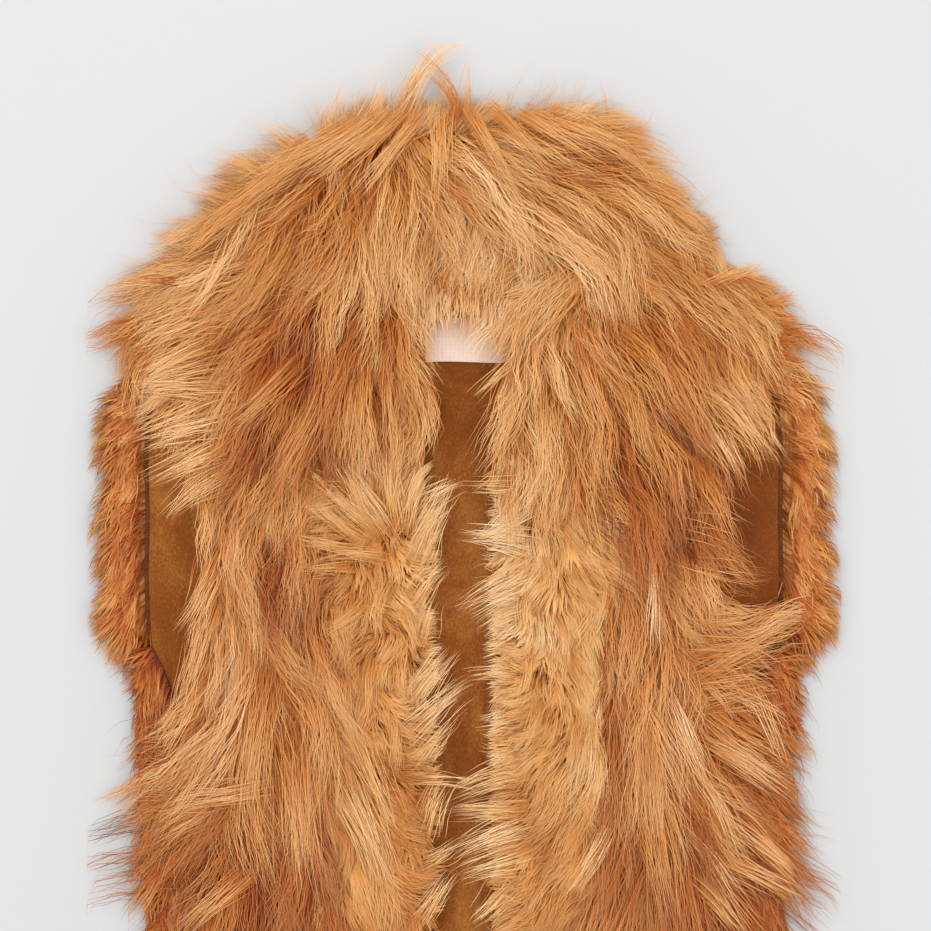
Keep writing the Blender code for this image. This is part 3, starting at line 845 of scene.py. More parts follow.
RIM = Layer(per_cm2=80, points=5, width=0.5, height=0.8, length=1.25, gather=0.76, lock_gap=16,
            wander=5, tone=0.06, wave=2.0, outward=0.2, outward_fade=0.0, rim_only=True,
            lift=(0.4, 1.0), contrast=0.1, gap_painted_shade=0.22, root=0.2)
RIM_STRAY = Layer(per_cm2=16, points=5, width=0.28, height=0.8, length=1.6, gather=0.2, lock_gap=12,
                  wander=20, tone=0.12, wave=3.0, outward=0.3, outward_fade=0.0, rim_only=True,
                  root=0.35)
FRINGE = Layer(per_cm2=34, points=4, width=0.95, height=0.5, length=1.0, gather=0.6, lock_gap=10,
               wander=12, wave=1.0, outward=0.5, outward_fade=0.6, contrast=0.1)
# BAND_UNDER's negative tone is painted shade: the under-hair is a little darker, for shaded gaps
# between locks
BAND_UNDER = Layer(per_cm2=22, points=3, width=2.4, height=0.74, length=0.85, gather=0.1, lock_gap=13,
                   wander=7, tone=-0.02, wave=0.0, contrast=0.03, roll=8, relief=0.15,
                   gap_painted_shade=0.08)
BAND_GUARD = Layer(per_cm2=38, points=4, width=0.56, height=0.86, length=1.1, gather=0.66,
                   lock_gap=17, wander=2, wave=0.8, contrast=0.035, roll=14, lift=(0.84, 1.0),
                   relief=0.36, gap_painted_shade=0.2)
BAND_STRAY = Layer(per_cm2=6, points=5, width=0.3, height=0.98, length=1.25, gather=0.4,
                   lock_gap=15, wander=10, tone=0.06, wave=1.8, relief=0.0, gap_painted_shade=0.0)


class Roots(Enum):
    """Which faces of the cloth a coat grows from."""

    TOP = "top"
    FOLD = "fold"
    EDGE = "edge"


@dataclass(frozen=True)
class Habit:
    """How this fur grows in every coat. Pairs are the two ends of an even spread of chance."""

    tufts: int = 7  # in a lock
    fewest_tufts: int = 8
    tuft_slack: float = 0.16  # of the gap between locks
    root_slack: float = 0.8  # mm
    lock_length: tuple[float, float] = (0.82, 1.14)
    tuft_length: tuple[float, float] = (0.86, 1.06)
    hair_length: tuple[float, float] = (0.62, 1.0)
    hair_height: tuple[float, float] = (0.955, 1.02)
    hair_width: tuple[float, float] = (0.75, 1.2)
    tuft_turn: float = 4.5  # degrees between tufts
    tuft_curl: float = 5.0
    curl_start: float = 0.25  # of its length, where a lock's curl is nothing yet
    lock_pull: float = 0.6  # how far tufts meet in their lock, and how late
    lock_pull_late: float = 1.8
    tuft_pull: float = 0.9  # how far hairs meet in their tuft, and how late
    tuft_pull_late: float = 2.2
    edge_pull: float = 2.2  # how soon an edge turns a hair outwards
    way_kept: float = 0.45  # of the last step's direction
    way_new: float = 0.55
    stride_root: float = 0.6  # of a full step over the plane, where a hair stands up
    stride_gained: float = 0.4
    stride_gain: float = 2.2
    stride_edge: float = 0.8  # of a full step past an edge, where a hair hangs down
    stride_inside: float = 0.2
    wavelength: float = 26.0  # mm
    wave_phase: float = 0.45  # between hairs of a lock
    wave_late: float = 0.8
    border: float = 0.62  # of the gap between locks: where a lock ends
    border_limit: float = 1.2
    lowest_share: float = 0.35  # of its height, in the shortest combed hair
    rise_round: float = 2.2
    droop: float = 0.16  # of its height, at the tip
    droop_late: float = 3.0
    downward: float = -0.3  # the most that hair grows downwards
    past_edge: float = 0.42  # of its height, past an edge
    over_cloth: float = 0.58  # added to that over cloth
    floor: float = 0.9  # mm above what the vest lies on
    floor_spread: float = 2.5
    clear: float = 1.6  # mm that free hair keeps above any cloth
    clear_spread: float = 1.5
    tone_limit: float = 1.3  # of the spread of the locks' tones
    lift_painted_light: float = 0.15  # painted light and shade: a higher lock is paler, a lower one darker
    lift_middle: float = 0.75
    gap_middle: float = 0.4
    tuft_tone: float = 0.03
    hair_tone: float = 0.02
    rim_cover: float = 0.8  # the ground's cover where all rim hair grows
    rim_fade: float = 0.195


@dataclass(frozen=True)
class LockHabit:
    """How a listed lock grows. Pairs are ends of an even spread of chance."""

    points: int = 8
    waver: float = 1.4  # mm of sideways waver at its tip
    waver_turn: float = 7.0
    hair_length: tuple[float, float] = (0.52, 1.0)
    hair_width: tuple[float, float] = (0.6, 1.25)
    hair_height: tuple[float, float] = (0.82, 0.94)  # of the coat's height
    stray: float = 4.0  # degrees
    late: float = 1.2  # how late it gathers and rises
    sunk: float = 0.5  # of the coat's height, at a root that starts in the coat
    sunk_end: float = 2.5
    rise_spread: float = 1.0  # mm
    tone_spread: float = 0.045
    middle: float = 0.85  # of its path, for its shading
    roundness: float = 1.5  # of its half width
    roll: float = 25.0  # degrees
    root: float = 0.15  # where on its map it starts, in the coat
    crest_root: float = 0.25  # and how much later on the coat


@dataclass
class FurCoat:
    """One panel's free fur: layers of hair on its cloth, and the listed locks."""

    name: str
    slot: str
    cloth: tuple[str, ...]
    pile: str
    combs: tuple[Comb, ...]
    layers: tuple[Layer, ...]
    height: float
    seed: int
    roots: Roots = Roots.TOP
    wobble: float = 11.0  # degrees
    wobble_length: float = 48.0
    lock_turn: float = 12.0  # degrees between locks
    curl: float = 22.0  # degrees that a lock bends by
    quiet_y: float = -170.0  # the photograph's edge, below which there is less hair
    quiet_share: float = 0.45
    quiet_width: float = 1.25
    locks: tuple[Lock, ...] = ()
    stands_in: bool = True  # for its pile
    palest: float = 0.86  # tone that only its listed locks pass
    full_length: float = 45.0  # combed length at which hair stands at its full height
    lock_width: float = 0.4  # mm, of a hair in a listed lock
    habit: Habit = Habit()
    lock_habit: LockHabit = LockHabit()

    FOLD_Z = 16.9  # middle of the side panels' folds
    FOLD_GAP = 1.9  # half the gap in a fold, where nothing grows
    SIDEWAYS = 0.5  # of a normal: from here its face counts as looking sideways
    INWARD = -0.1  # of a normal: as far inwards as a fold's outside looks
    ARMHOLE_X = 195.0  # the back's free edges lie outside this, above ARMHOLE_Y
    ARMHOLE_Y = 30.0
    HEM_Y = -390.0  # or below this
    MAT_Z = 14.0  # top of the pressed pile
    EDGE_SLACK = 5.0
    LOOKED_AT = 2500  # roots that locks are spaced out of
    FOUND_CELL = 8  # mm, of the squares that the rooted area is counted in
    FEWEST_LOCKS = 4
    LOCK_AREA = 0.9  # of a gap squared
    LOCK_SLACK = 0.12  # of a gap
    NEAREST_CHUNK = 2048
    WOBBLE_SEED = 7  # added to the coat's own
    FAR_X = 257.0  # no hair passes these
    NEAR_Y = -446.0
    FAR_Y = 447.0
    FAR_LOCK_Y = 448.0
    HIGHEST = 71.0
    HIGHEST_LOCK = 70.0
    LOWEST_LOCK = 1.0

    def ground(self, nodes: dict) -> tuple[np.ndarray, np.ndarray, np.ndarray]:
        """The faces that hair grows from, with their normals and areas."""
        triangles = np.concatenate([triangles_of(nodes[name]) for name in self.cloth])
        normals, areas = normals_of(triangles)
        middle = triangles.mean(1)
        upward = normals[:, 2]
        if self.roots is Roots.TOP:
            kept = upward > LEVEL
        elif self.roots is Roots.FOLD:
            outward = normals[:, 0] * np.sign(middle[:, 0])
            kept = (np.abs(normals[:, 1]) < self.SIDEWAYS) & (outward > self.INWARD)
            outside = np.abs(middle[:, 2] - self.FOLD_Z) > self.FOLD_GAP
            kept &= outside | (outward > self.SIDEWAYS)
        else:
            free = (middle[:, 1] > self.ARMHOLE_Y) & (np.abs(middle[:, 0]) > self.ARMHOLE_X)
            free |= middle[:, 1] < self.HEM_Y
            kept = (np.abs(upward) < LEVEL) & free | (upward > LEVEL) & (middle[:, 2] < self.MAT_Z)
        return triangles[kept], normals[kept], areas[kept]

    def scatter(
        self, layer: Layer, nodes: dict, ground: Ground, rng: np.random.Generator
    ) -> tuple[np.ndarray, np.ndarray]:
        """Spreads roots evenly over the cloth, or along its rim.

        Args:
            layer: The kind of hair.
            nodes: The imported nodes, by name.
            ground: The softened ground, which ends at the coat's edges.
            rng: The coat's random numbers.

        Returns:
            The roots and the cloth's normal at each.
        """
        triangles, normals, areas = self.ground(nodes)
        count = int(areas.sum() / MM2_PER_CM2 * layer.per_cm2)
        pick = rng.choice(len(areas), count, p=areas / areas.sum())
        a, b = rng.random((2, count))
        flip = a + b > 1
        a[flip], b[flip] = 1 - a[flip], 1 - b[flip]
        corner = triangles[pick]
        roots = corner[:, 0] + a[:, None] * (corner[:, 1] - corner[:, 0])
        roots += b[:, None] * (corner[:, 2] - corner[:, 0])
        normals = normals[pick]
        kept = rng.random(count) < np.where(roots[:, 1] < self.quiet_y, self.quiet_share, 1.0)
        if layer.rim_only:
            limit = self.habit.rim_cover + self.habit.rim_fade * rng.random(count) ** 0.5
            kept &= ground.at(roots[:, :2])[1] < limit
        cell = ((roots[:, :2] - Ground.LOW) / Ground.CELL).astype(int)
        if self.roots is Roots.TOP:
            footprint = Ground(triangles_of(nodes[self.pile]), -1)
            kept &= footprint.cover[cell[:, 0], cell[:, 1]] > 0
        if self.roots is Roots.EDGE:
            cloth = Ground(triangles_of(nodes["back"]), 1)
            kept &= (cloth.cover[cell[:, 0], cell[:, 1]] == 0) | (np.abs(normals[:, 2]) < LEVEL)
            beside = np.abs(roots[:, 0]) > self.ARMHOLE_X - self.EDGE_SLACK
            kept &= beside | (roots[:, 1] < self.HEM_Y + self.EDGE_SLACK)
        return roots[kept], normals[kept]

    def spaced(self, roots: np.ndarray, gap: float, rng: np.random.Generator) -> np.ndarray:
        """Picks roots that lie about a gap apart, the farthest one each time."""
        some = roots[rng.choice(len(roots), min(len(roots), self.LOOKED_AT), replace=False)]
        cells = {tuple(c) for c in (some / self.FOUND_CELL).astype(int)}
        area = len(cells) * self.FOUND_CELL**2
        count = max(self.FEWEST_LOCKS, int(area / (self.LOCK_AREA * gap * gap)))
        picked = [some[0]]
        far = ((some - picked[0]) ** 2).sum(1)
        while len(picked) < min(count, len(some)):
            picked.append(some[int(far.argmax())])
            far = np.minimum(far, ((some - picked[-1]) ** 2).sum(1))
        return np.array(picked) + rng.normal(0, gap * self.LOCK_SLACK, (len(picked), 3))

    def nearest(self, places: np.ndarray, centres: np.ndarray) -> np.ndarray:
        """The number of the nearest centre to each place."""
        found = np.empty(len(places), int)
        for start in range(0, len(places), self.NEAREST_CHUNK):
            part = slice(start, start + self.NEAREST_CHUNK)
            found[part] = ((places[part, None] - centres) ** 2).sum(-1).argmin(1)
        return found

    def trace(self, starts: np.ndarray, facts: dict, points: int, ground: Ground) -> np.ndarray:
        """Follows the combing over the plane.

        Args:
            starts: Where the paths start.
            facts: Their turn, curl, length factor, and outward turn at an edge with its fade.
            points: Points of each path.
            ground: The ground below, which ends at the coat's edges.

        Returns:
            Paths over the plane, points by path.
        """
        habit = self.habit
        combing = Combing(self.combs)
        wobble = Waver(self.seed + self.WOBBLE_SEED, self.wobble_length)
        heading, length, _ = combing.at(starts)
        stride = length * facts["length"] / (points - 1)
        forward = None
        path = [starts]
        for step in range(points - 1):
            share = (step + 0.5) / (points - 1)
            if step:
                heading, _, _ = combing.at(path[-1])
            angle = heading + facts["turn"] + facts["curl"] * (share - habit.curl_start)
            angle = angle + math.radians(self.wobble) * wobble.at(path[-1])
            ahead = np.stack([np.cos(angle), np.sin(angle)], -1)
            away, cover = ground.edge(path[-1])
            swept = facts["outward"] * max(0.0, 1 - facts["fade"] * share)
            pull = np.clip(habit.edge_pull - habit.edge_pull * cover, 0, 1)
            ahead = ahead + away * (swept * pull)[:, None]
            if forward is not None:
                ahead = habit.way_kept * forward + habit.way_new * ahead
            forward = unit(ahead)
            standing = habit.stride_root + habit.stride_gained * min(1.0, habit.stride_gain * share)
            lying = standing * (habit.stride_edge + habit.stride_inside * cover)
            path.append(path[-1] + forward * (stride * lying)[:, None])
        return np.stack(path, 1)

    def grow(
        self, layer: Layer, nodes: dict, cloth: Ground, ground: Ground, rng: np.random.Generator
    ) -> Hairs:
        """Grows one layer of hair.

        Args:
            layer: The kind of hair.
            nodes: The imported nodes, by name.
            cloth: The cloth's own heights, which no free hair goes below.
            ground: The softened ground that the hair lies over.
            rng: The coat's random numbers.

        Returns:
            The layer's hairs.
        """
        habit = self.habit
        roots, normals = self.scatter(layer, nodes, ground, rng)
        count, points = len(roots), layer.points
        centres = self.spaced(roots, layer.lock_gap, rng)
        tuft_count = max(habit.fewest_tufts, min(count, len(centres) * habit.tufts))
        tufts = roots[rng.choice(count, tuft_count, replace=False)]
        near = tufts + rng.normal(0, layer.lock_gap * habit.tuft_slack, tufts.shape)
        lock_of = self.nearest(near, centres)
        tuft_of = self.nearest(roots + rng.normal(0, habit.root_slack, roots.shape), tufts)

        locks = len(centres)
        lock = {
            "turn": np.radians(rng.normal(0, self.lock_turn, locks)),
            "curl": np.radians(rng.normal(0, self.curl, locks)),
            "length": rng.uniform(*habit.lock_length, locks) * layer.length,
            "outward": layer.outward,
            "fade": layer.outward_fade,
        }
        lift = rng.uniform(*layer.lift, locks)
        limit = habit.tone_limit
        shade = layer.contrast * np.clip(rng.standard_normal(locks), -limit, limit)
        # painted light: higher locks are made paler, lower ones darker
        shade += habit.lift_painted_light * (lift - habit.lift_middle)
        phase = rng.uniform(0, math.tau, locks)
        tuft = {
            "turn": lock["turn"][lock_of] + np.radians(rng.normal(0, habit.tuft_turn, tuft_count)),
            "curl": lock["curl"][lock_of] + np.radians(rng.normal(0, habit.tuft_curl, tuft_count)),
            "length": lock["length"][lock_of] * rng.uniform(*habit.tuft_length, tuft_count),
            "outward": layer.outward,
            "fade": layer.outward_fade,
        }
        share = np.linspace(0, 1, points)
        lock_path = self.trace(centres[:, :2], lock, points, ground)[lock_of]
        tuft_path = self.trace(tufts[:, :2], tuft, points, ground)
        pull = (habit.lock_pull * layer.gather * share**habit.lock_pull_late)[None, :, None]
        tuft_path = tuft_path + (lock_path - tuft_path) * pull

        own_lock = lock_of[tuft_of]
        offset = roots[:, :2] - tufts[tuft_of][:, :2]
        loose = 1 - habit.tuft_pull * layer.gather * share**habit.tuft_pull_late
        plane = tuft_path[tuft_of] + offset[:, None] * loose[None, :, None]
        run = plane - roots[:, None, :2]
        stray = np.radians(rng.normal(0, layer.wander, count))
        size = rng.uniform(*habit.hair_length, count)
        run = turned(run, stray[:, None]) * size[:, None, None]
        end = run[:, -1]
        side = unit(np.stack([-end[:, 1], end[:, 0]], -1))
        turns = np.linalg.norm(end, axis=1) / habit.wavelength
        own_phase = phase[own_lock] + rng.normal(0, habit.wave_phase, count)
        swing = np.sin(math.tau * turns[:, None] * share + own_phase[:, None])
        swing -= np.sin(own_phase)[:, None]
        run = run + side[:, None] * (swing * layer.wave * share**habit.wave_late)[..., None]

        _, combed, tone = Combing(self.combs).at(roots[:, :2])
        border = np.linalg.norm(roots[:, :2] - centres[own_lock][:, :2], axis=1)
        border = np.minimum(border / (habit.border * layer.lock_gap), habit.border_limit) ** 2
        reach = self.height * layer.height * lift[own_lock] * rng.uniform(*habit.hair_height, count)
        stature = np.clip(combed / self.full_length, habit.lowest_share, 1.0)
        reach *= (1 - layer.relief * border) * stature
        rise = 1 - (1 - share) ** habit.rise_round
        rise = rise * (1 - habit.droop * share**habit.droop_late)
        plane = roots[:, None, :2] + run
        plane = plane + normals[:, None, :2] * (reach[:, None] * rise)[..., None]
        height, cover = (g.reshape(count, points) for g in ground.at(plane.reshape(-1, 2)))
        below = height - height[:, :1]
        z = roots[:, 2:] + below
        upward = np.maximum(normals[:, 2:], habit.downward) * reach[:, None] * rise
        z = z + upward * (habit.past_edge + habit.over_cloth * cover)
        z = np.maximum(z, habit.floor + habit.floor_spread * rng.random(count)[:, None])
        if self.roots is not Roots.FOLD:
            low = cloth if self.roots is Roots.TOP else Ground(triangles_of(nodes[self.pile]), 1)
            lowest = low.at(plane.reshape(-1, 2))[0].reshape(count, points)
            clear = lowest + habit.clear + habit.clear_spread * rng.random(count)[:, None]
            z[:, 1:] = np.maximum(z, clear)[:, 1:]
        plane[..., 0] = np.clip(plane[..., 0], -self.FAR_X, self.FAR_X)
        plane[..., 1] = np.clip(plane[..., 1], self.NEAR_Y, self.FAR_Y)
        paths = np.concatenate([plane, np.minimum(z, self.HIGHEST)[..., None]], -1)
        tone = tone + layer.tone + shade[own_lock] + rng.normal(0, habit.hair_tone, count)
        # painted shade between locks: hairs at a lock's border are darker than those in its middle
        tone += layer.gap_painted_shade * (habit.gap_middle - border)
        tone += rng.normal(0, habit.tuft_tone, tuft_count)[tuft_of]
        tone = np.minimum(tone, self.palest)
        width = layer.width * rng.uniform(*habit.hair_width, count)
        width[roots[:, 1] < self.quiet_y] *= self.quiet_width
        roll = np.radians(rng.uniform(-layer.roll, layer.roll, count))
        facing = rounded(paths, lock_path[tuft_of], normals, layer.lock_gap / 2)
        return Hairs(paths, facing, width, roll, tone, layer.root)

    def place(self, lock: Lock, ground: Ground, rng: np.random.Generator) -> Hairs:
        """Lays one listed lock."""
        habit = self.lock_habit
        points = habit.points
        share = np.linspace(0, 1, points)
        angle = math.radians(lock.heading) + math.radians(lock.turn) * share[:-1]
        spine = np.cumsum(np.stack([np.cos(angle), np.sin(angle)], -1), 0)
        spine = np.concatenate([[[0.0, 0.0]], spine]) * lock.length / (points - 1)
        swing = np.sin(share * habit.waver_turn + lock.x) - math.sin(lock.x)
        spine[:, 0] += habit.waver * swing * share
        start = np.array([lock.x, lock.y])
        offset = rng.normal(0, lock.spread, (lock.hairs, 2))
        size = rng.uniform(*habit.hair_length, lock.hairs)
        stray = np.radians(rng.normal(0, habit.stray, lock.hairs))
        run = turned(spine[None] * size[:, None, None], stray[:, None])
        loose = (1 - lock.gather * share**habit.late)[None, :, None]
        plane = start + offset[:, None] * loose + run
        low, _ = ground.at(plane.reshape(-1, 2))
        low = low.reshape(lock.hairs, points)
        base = low[:, :1] + self.height * rng.uniform(*habit.hair_height, lock.hairs)[:, None]
        sunk = habit.sunk * self.height * (1 - lock.crest)
        base = base - sunk * (1 - share) ** habit.sunk_end
        rise = lock.rise + rng.normal(0, habit.rise_spread, lock.hairs)
        z = np.clip(base + rise[:, None] * share**habit.late, self.LOWEST_LOCK, self.HIGHEST_LOCK)
        plane[..., 0] = np.clip(plane[..., 0], -self.FAR_X, self.FAR_X)
        plane[..., 1] = np.clip(plane[..., 1], self.NEAR_Y, self.FAR_LOCK_Y)
        paths = np.concatenate([plane, z[..., None]], -1)
        width = self.lock_width * rng.uniform(*habit.hair_width, lock.hairs)
        tone = lock.tone + rng.normal(0, habit.tone_spread, lock.hairs)
        up = np.tile([0.0, 0.0, 1.0], (lock.hairs, 1))
        middle = np.broadcast_to(start + spine * habit.middle, plane.shape)
        facing = rounded(paths, middle, up, lock.spread * habit.roundness)
        roll = np.radians(rng.uniform(-habit.roll, habit.roll, lock.hairs))
        return Hairs(paths, facing, width, roll, tone, habit.root + habit.crest_root * lock.crest)

    def build(
        self, nodes: dict, cloth: Ground, ground: Ground, material: bpy.types.Material
    ) -> bpy.types.Object:
        """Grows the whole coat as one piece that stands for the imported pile.

        Args:
            nodes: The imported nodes, by name.
            cloth: The heights of the vest's cloth.
            ground: The softened ground of the whole vest.
            material: The coat's fur.

        Returns:
            The new piece.
        """
        rng = np.random.default_rng(self.seed)
        ribbons = Ribbons()
        for layer in self.layers:
            ribbons.add(self.grow(layer, nodes, cloth, ground, rng))
        for lock in self.locks:
            ribbons.add(self.place(lock, ground, rng))
        made = ribbons.build(self.name, material)
        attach(made, "root")
        if self.stands_in:
            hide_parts(self.pile)
        LOG.info("%s: %d triangles", self.name, len(made.data.loops) - 2 * len(made.data.polygons))
        return made


def select_only(obj: bpy.types.Object) -> None:
    """Deselects everything else and makes the object active."""
    bpy.ops.object.select_all(action="DESELECT")
    obj.select_set(True)
    bpy.context.view_layer.objects.active = obj


def settle(obj: bpy.types.Object) -> None:
    """Moves the object's place into its mesh."""
    select_only(obj)
    bpy.ops.object.transform_apply(location=True, rotation=True, scale=True)


def add_modifier(obj: bpy.types.Object, kind: str, settings: dict) -> None:
    """Adds a modifier with its settings and applies it."""
    made = obj.modifiers.new(kind.lower(), kind)
    for name, value in settings.items():
        setattr(made, name, value)
    select_only(obj)
    bpy.ops.object.modifier_apply(modifier=made.name)


def dress(obj: bpy.types.Object, material: bpy.types.Material, degrees: float) -> None:
    """Gives the object its material, and shades it smooth.

    Args:
        obj: The object.
        material: The only material that it is to have.
        degrees: Edges sharper than this stay sharp.
    """
    obj.data.materials.clear()
    obj.data.materials.append(material)
    select_only(obj)
    bpy.ops.object.shade_smooth_by_angle(angle=math.radians(degrees))


def new_grid(name: str, columns: int, rows: int) -> tuple[bpy.types.Object, np.ndarray, np.ndarray]:
    """Adds the grid that a cloth is shaped from.

    Args:
        name: The piece's name.
        columns: Cells across it.
        rows: Cells along it.

    Returns:
        The object, and each point's place across and along it, from -1 to 1.
    """
    bpy.ops.object.select_all(action="DESELECT")
    bpy.ops.mesh.primitive_grid_add(x_subdivisions=columns, y_subdivisions=rows, size=2.0)
    made = bpy.context.active_object
    made.name = name
    place = np.empty(len(made.data.vertices) * 3, np.float32)
    made.data.vertices.foreach_get("co", place)
    across, along, _ = place.reshape(-1, 3).astype(float).T
    return made, across, along


def set_points(obj: bpy.types.Object, x: np.ndarray, y: np.ndarray, z: np.ndarray) -> None:
    """Moves the object's points.

    Args:
        obj: The object.
        x: Where each point goes to along X, in millimetres.
        y: The same along Y.
        z: The same along Z.
    """
    places = np.column_stack([x, y, z]) * MM
    obj.data.vertices.foreach_set("co", places.astype(np.float32).ravel())
    obj.data.update()


def merged_copy(node: bpy.types.Object, name: str) -> bpy.types.Object:
    """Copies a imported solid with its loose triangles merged, and leaves it active."""
    made = bpy.data.objects.new(name, node.data.copy())
    bpy.context.scene.collection.objects.link(made)
    select_only(made)
    bpy.ops.object.mode_set(mode="EDIT")
    bpy.ops.mesh.select_all(action="SELECT")
    bpy.ops.mesh.remove_doubles(threshold=0.02 * MM)
    bpy.ops.mesh.dissolve_limited(angle_limit=math.radians(1))
    bpy.ops.object.mode_set(mode="OBJECT")
    return made


@dataclass
class PressedPile:
    """The back's own fur, pressed flat between its cloth and what the vest lies on."""

    edge: float = 3.0

    def build(self, nodes: dict, material: bpy.types.Material) -> bpy.types.Object:
        """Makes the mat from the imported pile, with round edges."""
        made = merged_copy(nodes["back_pile"], "back_pressed_pile")
        bevel = {"width": self.edge * MM, "segments": 3, "limit_method": "ANGLE"}
        add_modifier(made, "BEVEL", bevel)
        dress(made, material, 60)
        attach(made, "root")
        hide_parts("back_pile")
        LOG.info("back_pressed_pile: %d faces", len(made.data.polygons))
        return made


@dataclass
class FurCloth:
    """A cut piece of fur cloth: a thin shell on its packed wall, with soft cut edges."""

    node: str
    name: str
    flat: tuple[float, float]
    area: float
    rests_on: tuple[str, ...]
    fur: tuple[str, ...]
    edge: float = 0.5

    def build(self, nodes: dict, material: bpy.types.Material) -> bpy.types.Object:
        """Makes the shell from a merged copy of its wall."""
        made = merged_copy(nodes[self.node], self.name)
        add_modifier(
            made,
            "BEVEL",
            {"width": self.edge * MM, "segments": 2, "limit_method": "ANGLE", "angle_limit": 0.9},
        )
        dress(made, material, 40)
        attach(made, "root")
        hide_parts(self.node)
        LOG.info("%s: %d faces", self.name, len(made.data.polygons))
        return made

    def declare(self, made: bpy.types.Object, fur: tuple[bpy.types.Object, ...]) -> None:
        """Does nothing: the cut of the cloth and the fur that goes with it are not stated."""


@dataclass(frozen=True)
class Crease:
    """A soft fold of the lining, from one end to the other."""

    x1: float
    y1: float
    x2: float
    y2: float
    height: float
    width: float


@dataclass
class Lining:
    """The back's suede lining, which shows between the fronts and in both armholes."""

    columns: int = 72
    rows: int = 100
    thickness: float = 1.2
    bottom: float = 16.3
    bend: float = 2.0  # mm that a crease wanders sideways
    bend_turn: float = 7.0
    crease_ends: float = 4.0  # a crease fades in over one part in so many of its length
    roll_height: float = 1.1  # of the rolled edge at the armholes
    roll_width: float = 1.6
    roll_inset: float = 2.4
    roll_top: float = 232.0
    roll_foot: float = 45.0
    opening: float = 24.0  # half width that the fronts leave free
    armhole: float = 178.0  # and from here outwards
    free_fade: float = 6.0
    hem_y: float = -385.0
    hem_fade: float = 12.0
    creases: tuple[Crease, ...] = (
        Crease(-12, 175, -4, -20, 1.8, 7), Crease(10, 120, 2, -110, 2.2, 8),
        Crease(-10, -60, 6, -210, 1.8, 7), Crease(14, 60, 20, -10, 1.2, 5),
        Crease(-16, 60, -20, -40, 1.2, 5), Crease(-2, -230, 4, -370, 1.6, 8),
        Crease(-206, 196, -198, 50, 1.6, 5), Crease(-190, 150, -194, 60, 1.3, 6),
        Crease(205, 190, 199, 60, 1.7, 5), Crease(190, 160, 196, 52, 1.4, 6),
    )

    def half_width(self, node: bpy.types.Object, y: np.ndarray) -> np.ndarray:
        """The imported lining's half width at each height."""
        corners = triangles_of(node).reshape(-1, 3)
        edge = {}
        for x, place, _ in np.round(corners, 2):
            edge[place] = max(edge.get(place, 0.0), x)
        heights = sorted(edge)
        return np.interp(y, heights, [edge[h] for h in heights])

    def lift(self, x: np.ndarray, y: np.ndarray, half: np.ndarray) -> np.ndarray:
        """How far the cloth lifts at each place: its folds, and the rolled armhole edge."""
        total = np.zeros_like(x)
        for crease in self.creases:
            along = np.array([crease.x2 - crease.x1, crease.y2 - crease.y1])
            length = np.hypot(*along)
            u = ((x - crease.x1) * along[0] + (y - crease.y1) * along[1]) / length**2
            bend = self.bend * np.sin(u * self.bend_turn + crease.x1)
            off = ((x - crease.x1) * along[1] - (y - crease.y1) * along[0]) / length + bend
            ends = np.clip(self.crease_ends * u, 0, 1) * np.clip(self.crease_ends * (1 - u), 0, 1)
            total = np.maximum(total, crease.height * np.exp(-((off / crease.width) ** 2)) * ends)
        inside = half - np.abs(x)
        wavy = self.roll_inset + 0.8 * np.sin(y / 9) + 0.5 * np.sin(y / 4.1)
        rolled = self.roll_height * np.exp(-(((inside - wavy) / self.roll_width) ** 2))
        total += rolled * ((y > self.roll_foot) & (y < self.roll_top))
        free = np.clip((self.opening - np.abs(x)) / self.free_fade, 0, 1)
        free += np.clip((np.abs(x) - self.armhole) / self.free_fade, 0, 1)
        return total * np.clip(free, 0, 1) * np.clip((y - self.hem_y) / self.hem_fade, 0, 1)

    def build(self, nodes: dict, material: bpy.types.Material) -> bpy.types.Object:
        """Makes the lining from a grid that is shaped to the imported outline."""
        low, high = (corner / MM for corner in map(np.array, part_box("back_lining")))
        made, across, along = new_grid("suede_lining", self.columns, self.rows)
        y = low[1] + (along + 1) / 2 * (high[1] - low[1])
        half = self.half_width(nodes["back_lining"], y)
        x = across * half
        set_points(made, x, y, self.bottom + self.lift(x, y, half))
        add_modifier(
            made, "SOLIDIFY", {"thickness": self.thickness * MM, "offset": 1.0, "use_rim": True}
        )
        dress(made, material, 50)
        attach(made, "root")
        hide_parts("back_lining")
        LOG.info("suede_lining: %d faces", len(made.data.polygons))
        return made


